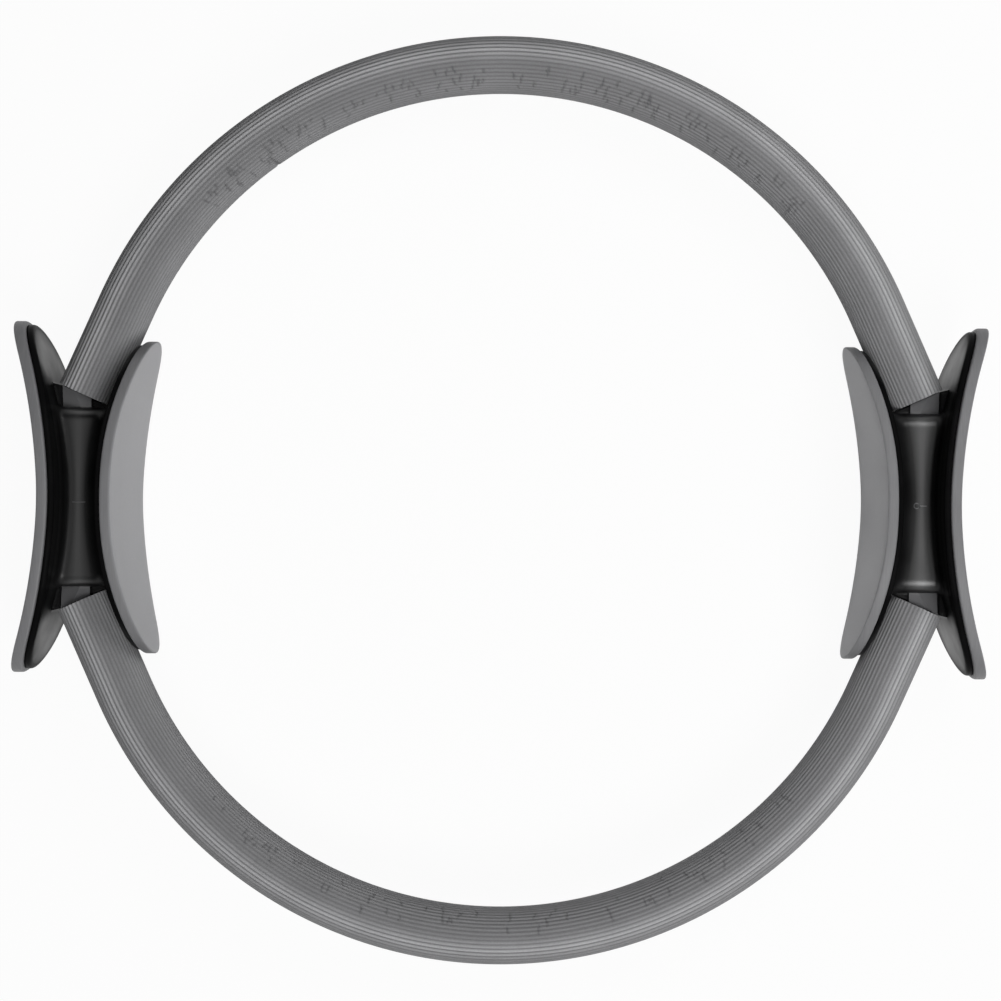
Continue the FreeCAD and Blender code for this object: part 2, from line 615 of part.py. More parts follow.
def foam_end_y(offset):
    """Return where a handle stops short of the foam, at an offset out from the line of the sockets."""
    drop = f"Sheet.soft_clearance / {TILT_COS}"
    return f"({FOAM_Y} + ({offset} + {FOAM_SHIFT}) * tan(Sheet.arc_tilt) - {drop})"


def gusset(side, end, face, corners):
    """Make a wedge of a handle that fills the corner between a mouth bush and a flange."""
    name = f"{side}_{end}_{face}_gusset"
    outline = doc.addObject("Sketcher::SketchObject", f"{name}_outline")
    if end == "lower":
        corners = [(x, f"(-{y})") for x, y in corners]
    draw_polygon(outline, corners)
    wedge = doc.addObject("Part::Extrusion", name)
    wedge.Base = outline
    wedge.DirMode = "Normal"
    wedge.Solid = True
    wedge.Symmetric = True
    bind(wedge, LengthFwd="Sheet.bush_depth")
    return wedge


def inner_gusset(side, end):
    """Make the gusset on a handle's inner flange, along the foam's end."""
    far, near = "(Sheet.bush_inner + Sheet.gusset_width)", "(Sheet.bush_inner + Sheet.seat_clearance)"
    far_x, near_x = (f"(Sheet.socket_reach - {offset})" for offset in (far, near))
    foot_y = f"({GRIP_HALF} - Sheet.bush_seat)"
    heads = [(near_x, foam_end_y(f"-{near}")), (far_x, foam_end_y(f"-{far}"))]
    return gusset(side, end, "inner", [(far_x, foot_y), (near_x, foot_y), *heads])


def outer_gusset(side, end):
    """Make the gusset on a handle's outer flange, from a mouth bush to the middle of the flange."""
    near = "(Sheet.bush_outer + Sheet.seat_clearance)"
    near_x = f"(Sheet.socket_reach + {near})"
    foot_y, tip_y = f"({GRIP_HALF} - Sheet.bush_seat)", f"({GRIP_HALF} + Sheet.gusset_reach)"
    middle = f"(Sheet.outer_curve + {FLANGE_MIDDLE})"
    foot_x, tip_x = (f"({OUTER_CENTRE} - sqrt({middle}^2 - {y}^2))" for y in (foot_y, tip_y))
    corners = [(near_x, foot_y), (foot_x, foot_y), (tip_x, tip_y), (near_x, foam_end_y(near))]
    return gusset(side, end, "outer", corners)


def saddle(side):
    """Make a handle's one-piece moulding: grip, flanges, gussets, sockets, bush seats and screw holes."""
    label = f"{side}_saddle"
    solid = fuse(f"{label}_solid", [flange(side, "outer"), flange(side, "inner"), grip(side)])
    depth = value("Sheet.grip_depth") / 2 + ON_SURFACE
    rounds = []
    for (centre, curve, _), fillet in zip(FACES.values(), ("Sheet.outer_fillet", INNER_FILLET)):
        on_back = on_curve(centre, f"({curve} + {FLANGE_BACK})")
        half = value(GRIP_HALF) + ON_SURFACE
        by_grip = lambda spot, on=on_back: on(spot) and abs(spot.z) < depth and abs(spot.y) < half
        rounds.append((by_grip, fillet))
        rounds.append((on_back, "Sheet.flange_round"))
    rounded = round_edges(f"{label}_rounded", solid, rounds)
    gussets = [make(side, end) for make in (inner_gusset, outer_gusset) for end in ("upper", "lower")]
    moulding = fuse(f"{label}_moulding", [rounded, *gussets])
    return finish(combine("Part::Cut", label, moulding, handle_cavities(side)), label, side)


def retaining_screws(side):
    """Make a handle's two retaining screws as one group."""
    screws = []
    for end, sign in (("upper", ""), ("lower", "-")):
        name = f"{side}_{end}_screw"
        height = f"{sign}Sheet.screw_height"
        start = f"{SCREW_SEAT_X} - Sheet.head_height"
        head = rod(f"{name}_head", start, "Sheet.head_height", "Sheet.head_diameter / 2", height)
        run = f"({SCREW_LENGTH} - Sheet.screw_point)"
        shank = rod(f"{name}_shank", SCREW_SEAT_X, run, "Sheet.screw_diameter / 2", height)
        tip = doc.addObject("Part::Cone", f"{name}_tip")
        bind(tip, Radius1="Sheet.screw_diameter / 2", Height="Sheet.screw_point")
        tip.Radius2 = 0
        place(tip, ACROSS_X, x=f"{SCREW_SEAT_X} + {run}", y=height)
        screws.append(fuse(name, [head, shank, tip]))
    label = f"{side}_retaining_screws"
    group = doc.addObject("Part::Compound", label)
    group.Links = screws
    return finish(group, label, side)


def sloping_cut(name, side):
    """Make the box that cuts a mouth bush's front or back, sloping from a crease to the outer side."""
    front = side * value("Sheet.bush_depth") / 2
    line_x, foot_y = value("Sheet.socket_reach"), value(GRIP_HALF)
    foot = FreeCAD.Vector(line_x - value("Sheet.crease_foot"), foot_y, front)
    head = FreeCAD.Vector(line_x + value("Sheet.crease_head"), value(foam_end_y("Sheet.crease_head")), front)
    low = FreeCAD.Vector(line_x + value("Sheet.bush_outer"), foot_y, front - side * value("Sheet.bush_fall"))
    first, last = (foot, head) if side > 0 else (head, foot)
    along = (last - first).normalize()
    item = doc.addObject("Part::Box", name)
    bind(item, Length="Sheet.bush_inner + Sheet.bush_outer + Sheet.overrun", Height="Sheet.overrun")
    bind(item, Width="Sheet.bush_depth + 2 * Sheet.overrun")
    turn = FreeCAD.Rotation(low - foot, along, ORIGIN, "YXZ")
    item.Placement = FreeCAD.Placement(first - along * value("Sheet.overrun"), turn)
    return item


def mouth_bush(corner):
    """Make the bush that guides a spring out of a handle's mouth and stops the foam there."""
    label = f"{corner}_mouth_bush"
    body = doc.addObject("PartDesign::Body", f"{label}_body")
    outline = sketch_on(body, "outline", "XY_Plane")
    inner_x, outer_x = "(Sheet.socket_reach - Sheet.bush_inner)", "(Sheet.socket_reach + Sheet.bush_outer)"
    foot_y = f"({GRIP_HALF} - Sheet.bush_seat)"
    inner_y, outer_y = foam_end_y("-Sheet.bush_inner"), foam_end_y("Sheet.bush_outer")
    draw_polygon(outline, [(inner_x, foot_y), (outer_x, foot_y), (outer_x, outer_y), (inner_x, inner_y)])
    pad_feature = body.newObject("PartDesign::Pad", "block")
    pad_feature.Profile = outline
    pad_feature.Midplane = True
    bind(pad_feature, Length="Sheet.bush_depth")
    doc.recompute()
    path = sketch_on(body, "centre_line", "XY_Plane")
    edges = draw_core_path(path)
    section = sketch_on(body, "section", "YZ_Plane")
    half_x, half_y = (f"({size} / 2 + Sheet.seat_clearance)" for size in (SHEATH_THICKNESS, SHEATH_WIDTH))
    draw_rectangle(section, f"({ARC_TOP} - {half_x})", f"({ARC_TOP} + {half_x})", half_y)
    doc.recompute()
    slot = body.newObject("PartDesign::SubtractivePipe", "slot")
    slot.Profile = section
    slot.Spine = (path, edges)
    body.Tip = slot
    slopes = [sloping_cut(f"{label}_{name}_slope", side) for name, side in (("front", 1), ("back", -1))]
    return finish(combine("Part::Cut", label, body, fuse(f"{label}_slopes", slopes)), label, corner)


def check(items):
    """Stop if any object failed to compute or a sub-part's shape isn't valid."""
    doc.recompute()
    for item in doc.Objects:
        if "Invalid" in item.State or "Error" in item.State:
            raise RuntimeError(f"{item.Name} failed: {item.State}")
    for item in items:
        if item.Shape.isNull() or not item.Shape.isValid():
            raise RuntimeError(f"{item.Label} has no valid shape")


nodes = []
for side in ("left", "right"):
    nodes.append(saddle(side))
    nodes += [pad(side, face) for face in FACES]
    nodes.append(retaining_screws(side))
for corner in ("upper_left", "upper_right", "lower_left", "lower_right"):
    nodes.append(mouth_bush(corner))
for side in ("upper", "lower"):
    nodes.append(foam_sleeve(f"{side}_foam_sleeve", side))
    nodes.append(core_sheath(f"{side}_core_sheath", side))
    for name, step in (("inner", -1), ("middle", 0), ("outer", 1)):
        nodes.append(spring_leaf(f"{side}_{name}_leaf", side, step))

check(nodes)
os.makedirs("parts", exist_ok=True)
for node in nodes:
    node.Shape.exportStep(f"parts/{node.Label}.step")
    solids = node.Shape.Solids
    print(f"{node.Label}: {len(solids)} solid(s), {sum(solid.Volume for solid in solids):.0f} mm3")
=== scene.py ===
"""Pilates ring, dressed for the camera: ribbed foam sleeves, foam pads, moulded handles and cores.

Lengths are in metres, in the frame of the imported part. The ring lies flat: X runs from the left
handle to the right one, Y from the lower arc to the upper one, and Z is the ring's axis.
"""

import logging
import math
import random
from collections.abc import Callable, Iterable
from dataclasses import dataclass
from enum import Enum
from functools import partial

import bmesh
import bpy
import numpy as np
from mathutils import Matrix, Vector
from mathutils.bvhtree import BVHTree


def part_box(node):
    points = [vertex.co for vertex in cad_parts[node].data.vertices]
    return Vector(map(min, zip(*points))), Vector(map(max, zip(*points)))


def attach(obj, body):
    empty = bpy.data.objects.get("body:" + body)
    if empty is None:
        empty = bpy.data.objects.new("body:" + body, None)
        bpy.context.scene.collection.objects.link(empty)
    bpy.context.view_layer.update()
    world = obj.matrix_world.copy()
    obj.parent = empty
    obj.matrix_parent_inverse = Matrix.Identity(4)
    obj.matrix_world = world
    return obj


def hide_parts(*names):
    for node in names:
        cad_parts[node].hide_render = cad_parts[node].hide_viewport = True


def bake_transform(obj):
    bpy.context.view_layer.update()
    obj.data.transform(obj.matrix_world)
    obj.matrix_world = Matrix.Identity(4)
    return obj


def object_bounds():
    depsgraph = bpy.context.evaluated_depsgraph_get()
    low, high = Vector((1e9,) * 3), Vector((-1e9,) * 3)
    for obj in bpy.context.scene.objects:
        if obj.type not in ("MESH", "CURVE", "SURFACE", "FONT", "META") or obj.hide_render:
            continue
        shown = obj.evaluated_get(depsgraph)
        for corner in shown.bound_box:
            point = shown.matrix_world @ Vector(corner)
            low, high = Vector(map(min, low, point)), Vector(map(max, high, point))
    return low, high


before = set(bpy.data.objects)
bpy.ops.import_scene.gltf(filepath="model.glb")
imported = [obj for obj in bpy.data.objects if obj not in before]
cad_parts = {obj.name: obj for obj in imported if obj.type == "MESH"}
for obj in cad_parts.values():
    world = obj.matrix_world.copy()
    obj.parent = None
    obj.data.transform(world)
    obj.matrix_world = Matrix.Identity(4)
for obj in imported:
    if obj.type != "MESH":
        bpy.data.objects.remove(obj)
CAD_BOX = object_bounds()

LOG = logging.getLogger("pilates_ring")
MILLIMETRE = 0.001
DOWN = Vector((0.0, 0.0, -1.0))

Triple = tuple[float, float, float]
Colour = Triple
Span = tuple[float, float]
Socket = bpy.types.NodeSocket
Value = float | Socket

# Where most values of a noise lie, for fine grain and for broad patches
FINE_NOISE: Span = (0.25, 0.75)
BROAD_NOISE: Span = (0.3, 0.7)
# How far broad patches of foam are darker or lighter
PATCH_SWING: Span = (0.95, 1.05)
# Sockets of a Mix node for colours, found by number because their names repeat
MIX_SHARE, MIX_FIRST, MIX_SECOND, MIX_RESULT = 0, 6, 7, 2


class Wiring:
    """A short way to add and link nodes in a shader or geometry tree."""

    def __init__(self, tree: bpy.types.NodeTree) -> None:
        """Keep the tree that nodes are added to."""
        self.tree = tree

    def node(self, kind: str, inputs: dict | None = None, **settings: object) -> bpy.types.Node:
        """Add a node.

        Args:
            kind: The node's type.
            inputs: Values or sockets for its inputs, by name or number.
            settings: Properties of the node.

        Returns:
            The node.
        """
        made = self.tree.nodes.new(kind)
        for name, setting in settings.items():
            setattr(made, name, setting)
        for key, value in (inputs or {}).items():
            if isinstance(value, Socket):
                self.tree.links.new(value, made.inputs[key])
            else:
                made.inputs[key].default_value = value
        return made

    def math(self, operation: str, *values: Value) -> Socket:
        """Return the result of a Math node on the values."""
        return self.node("ShaderNodeMath", dict(enumerate(values)), operation=operation).outputs[0]

    def product(self, first: Socket, *others: Value) -> Socket:
        """Multiply values.

        Args:
            first: The first value.
            others: The other values.

        Returns:
            Their product.
        """
        for other in others:
            first = self.math("MULTIPLY", first, other)
        return first

    def remap(self, value: Socket, source: Span, target: Span) -> Socket:
        """Return a value mapped from one range to another and kept within it."""
        inputs = dict(enumerate((value, *source, *target)))
        return self.node("ShaderNodeMapRange", inputs).outputs[0]

    def blend(self, share: Socket, first: Colour | Socket, second: Colour | Socket) -> Socket:
        """Return a colour between two others.

        Args:
            share: The second colour's share.
            first: The first colour.
            second: The second colour.

        Returns:
            The colour.
        """
        inputs = {MIX_SHARE: share}
        for key, colour in ((MIX_FIRST, first), (MIX_SECOND, second)):
            inputs[key] = (*colour, 1.0) if isinstance(colour, tuple) else colour
        return self.node("ShaderNodeMix", inputs, data_type="RGBA").outputs[MIX_RESULT]

    def grey(self, value: Socket) -> Socket:
        """Return a number as a grey."""
        return self.node("ShaderNodeCombineColor", {0: value, 1: value, 2: value}).outputs[0]

    def tint(self, colour: Socket, tone: Socket) -> Socket:
        """Multiply a colour by a tone.

        Args:
            colour: The colour.
            tone: The number to multiply it by.

        Returns:
            The colour that results.
        """
        inputs = {MIX_SHARE: 1.0, MIX_FIRST: colour, MIX_SECOND: self.grey(tone)}
        mixed = self.node("ShaderNodeMix", inputs, data_type="RGBA", blend_type="MULTIPLY")
        return mixed.outputs[MIX_RESULT]

    def attribute(self, name: str) -> Socket:
        """Return one of the mesh's own attributes as a number."""
        return self.node("ShaderNodeAttribute", attribute_name=name).outputs["Fac"]

    def noise(self, size: float, detail: float = 2.0, stretch: Triple = (1.0, 1.0, 1.0)) -> Socket:
        """Return noise on Object coordinates.

        Args:
            size: Size of its spots.
            detail: Octaves of finer noise.
            stretch: Scale of the coordinates along each axis, below 1 to draw the spots out.

        Returns:
            The noise, about 0.5 on average.
        """
        place = self.node("ShaderNodeTexCoord").outputs["Object"]
        drawn = {"Vector": place, "Scale": stretch}
        mapped = self.node("ShaderNodeMapping", drawn).outputs["Vector"]
        inputs = {"Vector": mapped, "Scale": 1 / size, "Detail": detail}
        return self.node("ShaderNodeTexNoise", inputs).outputs["Fac"]

    def bump(self, height: Socket, distance: float, strength: float, **normal: Socket) -> Socket:
        """Return the surface's normal, bumped by a height.

        Args:
            height: The height, from 0 to 1.
            distance: What a height of 1 stands for.
            strength: Share of the bump that shows.
            normal: The normal to start from, as Normal, where it isn't the surface's own.

        Returns:
            The normal.
        """
        inputs = {"Strength": strength, "Distance": distance, "Height": height, **normal}
        return self.node("ShaderNodeBump", inputs).outputs["Normal"]


class Finish:
    """A finish that makes its own material."""

    name: str
    slot: str

    def material(self) -> bpy.types.Material:
        """Make the finish's material the first time it is asked for.

        Returns:
            The material.
        """
        label = f"{self.name}_finish"
        made = bpy.data.materials.get(label)
        if made is None:
            made = bpy.data.materials.new(label)
            made.use_nodes = True
            self.wire(Wiring(made.node_tree), made.node_tree.nodes["Principled BSDF"])
        return made

    def wire(self, wiring: Wiring, shader: bpy.types.Node) -> None:
        """Set the shader's sockets and link what varies over the surface."""
        raise NotImplementedError

    @staticmethod
    def link(wiring: Wiring, shader: bpy.types.Node, **sockets: Socket) -> None:
        """Link sockets to the shader's inputs, named with _ for spaces."""
        for name, socket in sockets.items():
            wiring.tree.links.new(socket, shader.inputs[name.replace("_", " ")])


@dataclass(frozen=True)
class SleeveFoam(Finish):
    """Closed-cell foam of the sleeves: satin crests and dull grooves, with painted shade in grooves
    and creases.

    The spans say where a share starts or ends, by how far the surface faces out of the ring:
    -1 on its inner side, 0 on top and 1 on its outer side.
    """

    name: str = "sleeve_foam"
    slot: str = "sleeve_foam"
    # The grooves' darker colour is painted shade and the crests' lighter colour painted light; the
    # crease colour is painted shade.
    crest: Colour = (0.46, 0.46, 0.47)
    groove_shade: Colour = (0.16, 0.16, 0.165)
    crease: Colour = (0.05, 0.05, 0.052)
    crease_share: float = 0.55
    rib_level: float = 0.62
    rib_power: float = 0.8
    # The inner side is painted darker, as painted shade.
    inner_span: Span = (-0.1, 0.37)
    inner_share: float = 0.59
    inner_contrast_share: float = 0.42
    # The innermost edge is painted lighter, as painted light.
    inner_edge_span: Span = (-0.95, -0.5)
    inner_edge_light_share: float = 1.25
    outer_contrast_span: Span = (0.45, 0.75)
    outer_contrast_share: float = 0.4
    # The outer edge is painted darker, as painted shade.
    outer_edge_span: Span = (0.4, 0.75)
    outer_edge_shade_share: float = 0.72
    grain: float = 0.5 * MILLIMETRE
    grain_detail: float = 3.0
    grain_height: float = 0.1 * MILLIMETRE
    grain_strength: float = 0.4
    grain_swing: Span = (0.9, 1.1)
    patch: float = 22 * MILLIMETRE
    roughness: Span = (0.9, 0.7)
    gloss: float = 0.12

    def wire(self, wiring: Wiring, shader: bpy.types.Node) -> None:
        """Wire the ribs, the painted light and shade round the sleeve, the creases' painted shade
        and the grain.

        Args:
            wiring: Adds nodes to the material.
            shader: The material's shader.
        """
        crest, outward = wiring.attribute("crest"), wiring.attribute("outward")
        grain = wiring.noise(self.grain, self.grain_detail)
        contrast = wiring.product(
            wiring.remap(outward, self.inner_span, (self.inner_contrast_share, 1.0)),
            wiring.remap(outward, self.outer_contrast_span, (1.0, self.outer_contrast_share)),
        )
        # The ribs' colour runs from painted shade in the grooves to painted light on the crests.
        swing = wiring.math("SUBTRACT", wiring.math("POWER", crest, self.rib_power), self.rib_level)
        level = wiring.math("MULTIPLY_ADD", swing, contrast, self.rib_level)
        # The tone holds painted shade on the inner side and outer edge, painted light on the
        # innermost edge, and random grain and patches.
        tone = wiring.product(
            wiring.remap(outward, self.inner_span, (self.inner_share, 1.0)),
            wiring.remap(outward, self.outer_edge_span, (1.0, self.outer_edge_shade_share)),
            wiring.remap(outward, self.inner_edge_span, (self.inner_edge_light_share, 1.0)),
            wiring.remap(grain, FINE_NOISE, self.grain_swing),
            wiring.remap(wiring.noise(self.patch), BROAD_NOISE, PATCH_SWING),
        )
        ribs = wiring.tint(wiring.blend(level, self.groove_shade, self.crest), tone)
        # Painted shade in the creases.
        crease_shade = wiring.product(wiring.attribute("crease"), self.crease_share)
        self.link(
            wiring,
            shader,
            Base_Color=wiring.blend(crease_shade, ribs, self.crease),
            Roughness=wiring.remap(crest, (0.0, 1.0), self.roughness),
            Normal=wiring.bump(grain, self.grain_height, self.grain_strength),
        )
        shader.inputs["Specular IOR Level"].default_value = self.gloss


@dataclass(frozen=True)
class PadFoam(Finish):
    """Denser foam sheet of the pads: fine cells on the face, knife marks along the cut rim."""

    name: str = "pad_foam"
    slot: str = "pad_foam"
    # The face is painted lighter, as painted light and reflection, and the cut rim darker, as
    # painted shade.
    face: Colour = (0.37, 0.37, 0.383)
    rim: Colour = (0.17, 0.17, 0.176)
    cell: float = 0.45 * MILLIMETRE
    cell_detail: float = 3.0
    cell_height: float = 0.08 * MILLIMETRE
    cell_strength: float = 0.35
    cell_swing: Span = (0.92, 1.08)
    patch: float = 18 * MILLIMETRE
    patch_detail: float = 3.0
    knife_mark: float = 0.35 * MILLIMETRE
    knife_stretch: Triple = (1.0, 0.03, 0.03)
    roughness: Span = (0.5, 0.6)
    gloss: float = 0.5

    def wire(self, wiring: Wiring, shader: bpy.types.Node) -> None:
        """Wire the cells of the face and the knife marks of the rim.

        Args:
            wiring: Adds nodes to the material.
            shader: The material's shader.
        """
        on_rim = wiring.attribute("rim")
        cells = wiring.noise(self.cell, self.cell_detail)
        marks = wiring.noise(self.knife_mark, stretch=self.knife_stretch)
        patch = wiring.noise(self.patch, self.patch_detail)
        texture = wiring.blend(on_rim, wiring.grey(cells), wiring.grey(marks))
        tone = wiring.product(
            wiring.remap(texture, FINE_NOISE, self.cell_swing),
            wiring.remap(patch, BROAD_NOISE, PATCH_SWING),
        )
        self.link(
            wiring,
            shader,
            # Painted light on the face and painted shade on the rim.
            Base_Color=wiring.tint(wiring.blend(on_rim, self.face, self.rim), tone),
            Roughness=wiring.remap(patch, BROAD_NOISE, self.roughness),
            Normal=wiring.bump(texture, self.cell_height, self.cell_strength),
        )
        shader.inputs["Specular IOR Level"].default_value = self.gloss


@dataclass(frozen=True)
class MouldedPlastic(Finish):
    """Moulded plastic with a faint orange peel and handling marks.

    Its specular level paints a highlight along the grips' crowns, and shade at mouths and flange
    rims.
    """

    name: str = "handle_plastic"
    slot: str = "handle_plastic"
    colour: Colour = (0.004, 0.004, 0.0042)
    worn: Colour = (0.006, 0.006, 0.0063)
    roughness: Span = (0.3, 0.42)
    edge_round: float = 0.0
    edge_samples: int = 8
    peel: float = 0.9 * MILLIMETRE
    peel_height: float = 0.02 * MILLIMETRE
    peel_strength: float = 0.25
    smudge: float = 14 * MILLIMETRE
    smudge_detail: float = 5.0
    wear_span: Span = (0.35, 0.7)
    # Specular levels that paint shade at the mouths and rims, and the level of the flange lobes
    shade_gloss_share: float = 0.05
    lobe_share: float = 0.22
    mouth_start: Span = (33.5 * MILLIMETRE, 35.5 * MILLIMETRE)
    mouth_end: Span = (45.0 * MILLIMETRE, 54.0 * MILLIMETRE)
    rim_start: Span = (15.0 * MILLIMETRE, 22.0 * MILLIMETRE)
    tip_start: float = 43.0 * MILLIMETRE
    # Where the painted highlight along the grips' crowns lies, and how it fades to their edges
    crown_centre: float = 161.2 * MILLIMETRE
    crown_half: float = 2.5 * MILLIMETRE
    crown_curve: float = 161.0 * MILLIMETRE
    crown_fade: Span = (0.15, 1.05)
    crown_edge_share: float = 0.25

    def wire(self, wiring: Wiring, shader: bpy.types.Node) -> None:
        """Wire the handling marks, the orange peel, the rounded edges and the painted gloss.

        Args:
            wiring: Adds nodes to the material.
            shader: The material's shader.
        """
        smudge = wiring.noise(self.smudge, self.smudge_detail)
        wear = wiring.remap(smudge, self.wear_span, (0.0, 1.0))
        peel = wiring.noise(self.peel)
        start = {}
        if self.edge_round > 0.0:
            rounding = {"Radius": self.edge_round}
            edges = wiring.node("ShaderNodeBevel", rounding, samples=self.edge_samples)
            start["Normal"] = edges.outputs["Normal"]
        self.link(
            wiring,
            shader,
            Base_Color=wiring.blend(wear, self.colour, self.worn),
            Roughness=wiring.remap(smudge, BROAD_NOISE, self.roughness),
            Normal=wiring.bump(peel, self.peel_height, self.peel_strength, **start),
            Specular_IOR_Level=self.painted_gloss(wiring),
        )

    def painted_gloss(self, wiring: Wiring) -> Socket:
        """Work out the specular level that paints highlight and shade on the plastic.

        Args:
            wiring: Adds nodes to the material.

        Returns:
            The painted specular level: 1 along the grips' crowns, less at their edges, mouths and
                rims.
        """
        place = wiring.node("ShaderNodeTexCoord").outputs["Object"]
        parts = wiring.node("ShaderNodeSeparateXYZ", {0: place}).outputs
        along = wiring.math("ABSOLUTE", parts["Y"])
        past = wiring.math("MAXIMUM", wiring.math("SUBTRACT", along, self.tip_start), 0.0)
        rise = wiring.math("SUBTRACT", parts["Z"], LINE.middle)
        spoke = wiring.node("ShaderNodeCombineXYZ", {0: past, 1: rise}).outputs[0]
        aside = wiring.node("ShaderNodeVectorMath", {0: spoke}, operation="LENGTH").outputs["Value"]
        reach = wiring.math("SUBTRACT", wiring.math("ABSOLUTE", parts["X"]), self.crown_centre)
        spread = wiring.math("DIVIDE", wiring.product(along, along), 2.0 * self.crown_curve)
        half = wiring.math("ADD", spread, self.crown_half)
        share = wiring.math("DIVIDE", wiring.math("ABSOLUTE", reach), half)
        grip = wiring.product(
            wiring.remap(share, self.crown_fade, (1.0, self.crown_edge_share)),
            wiring.remap(along, self.mouth_start, (1.0, self.shade_gloss_share)),
        )
        lobe = wiring.remap(along, self.mouth_end, (self.shade_gloss_share, self.lobe_share))
        middle = wiring.remap(aside, self.rim_start, (1.0, self.shade_gloss_share))
        return wiring.product(wiring.math("MAXIMUM", grip, lobe), middle)


@dataclass(frozen=True)
class BareSteel(Finish):
    """Bare steel with fine marks along it."""

    name: str = "spring_steel"
    slot: str = "spring_steel"
    bright: Colour = (0.5, 0.5, 0.51)
    dark: Colour = (0.36, 0.36, 0.375)
    roughness: Span = (0.28, 0.42)
    mark: float = 0.3 * MILLIMETRE
    mark_detail: float = 3.0
    mark_stretch: Triple = (0.2, 0.2, 1.0)

    def wire(self, wiring: Wiring, shader: bpy.types.Node) -> None:
        """Wire the marks.

        Args:
            wiring: Adds nodes to the material.
            shader: The material's shader.
        """
        marks = wiring.noise(self.mark, self.mark_detail, self.mark_stretch)
        self.link(
            wiring,
            shader,
            Base_Color=wiring.blend(marks, self.dark, self.bright),
            Roughness=wiring.remap(marks, BROAD_NOISE, self.roughness),
        )
        shader.inputs["Metallic"].default_value = 1.0


SLEEVE_FOAM = SleeveFoam()
PAD_FOAM = PadFoam()
HANDLE_PLASTIC = MouldedPlastic(edge_round=2.0 * MILLIMETRE)
# The bush's grey is painted reflection of the bright surroundings on black plastic.
BUSH_PLASTIC = MouldedPlastic(
    "bush_plastic", "bush_plastic", (0.1, 0.1, 0.103), (0.12, 0.12, 0.124), (0.42, 0.55)
)
SHEATH_PLASTIC = MouldedPlastic(
    "sheath_plastic", "sheath_plastic", (0.05, 0.05, 0.052), (0.07, 0.07, 0.072), (0.4, 0.55)
)
# The marks' lighter grey is a painted highlight, for the light that the thin ridges catch.
MARK_PLASTIC = MouldedPlastic(
    "mark_plastic", "handle_plastic", (0.055, 0.055, 0.057), (0.07, 0.07, 0.072)
)
SPRING_STEEL = BareSteel()
SCREW_STEEL = BareSteel("screw_steel", "screw_steel", (0.6, 0.6, 0.61), (0.42, 0.42, 0.43))


class Side(Enum):
    """The handles, with the sign of X there."""

    LEFT = -1
    RIGHT = 1

    @property
    def label(self) -> str:
        """The side's name."""
        return self.name.lower()


class Quarter(Enum):
    """The quarters of the ring, with the signs of X and Y there."""

    UPPER_LEFT = (-1, 1)
    UPPER_RIGHT = (1, 1)
    LOWER_LEFT = (-1, -1)
    LOWER_RIGHT = (1, -1)

    @property
    def half(self) -> str:
        """The arc that the quarter belongs to."""
        return "upper" if self.value[1] > 0 else "lower"

    @property
    def side(self) -> Side:
        """The handle that the quarter stands in."""
        return Side(self.value[0])

    @property
    def label(self) -> str:
        """The quarter's name."""
        return self.name.lower()

    @property
    def hand(self) -> int:
        """1 where the line from the handle turns left round the ring, -1 where it turns right."""
        return self.value[0] * self.value[1]


class Leaf(Enum):
    """The leaves of a spring, with their steps out from its middle."""

    INNER = -1
    MIDDLE = 0
    OUTER = 1


class Face(Enum):
    """A handle's pressing faces: the sign of X towards the centre of curvature, and the radius."""

    OUTER = (1, 155.0 * MILLIMETRE)
    INNER = (-1, 154.0 * MILLIMETRE)


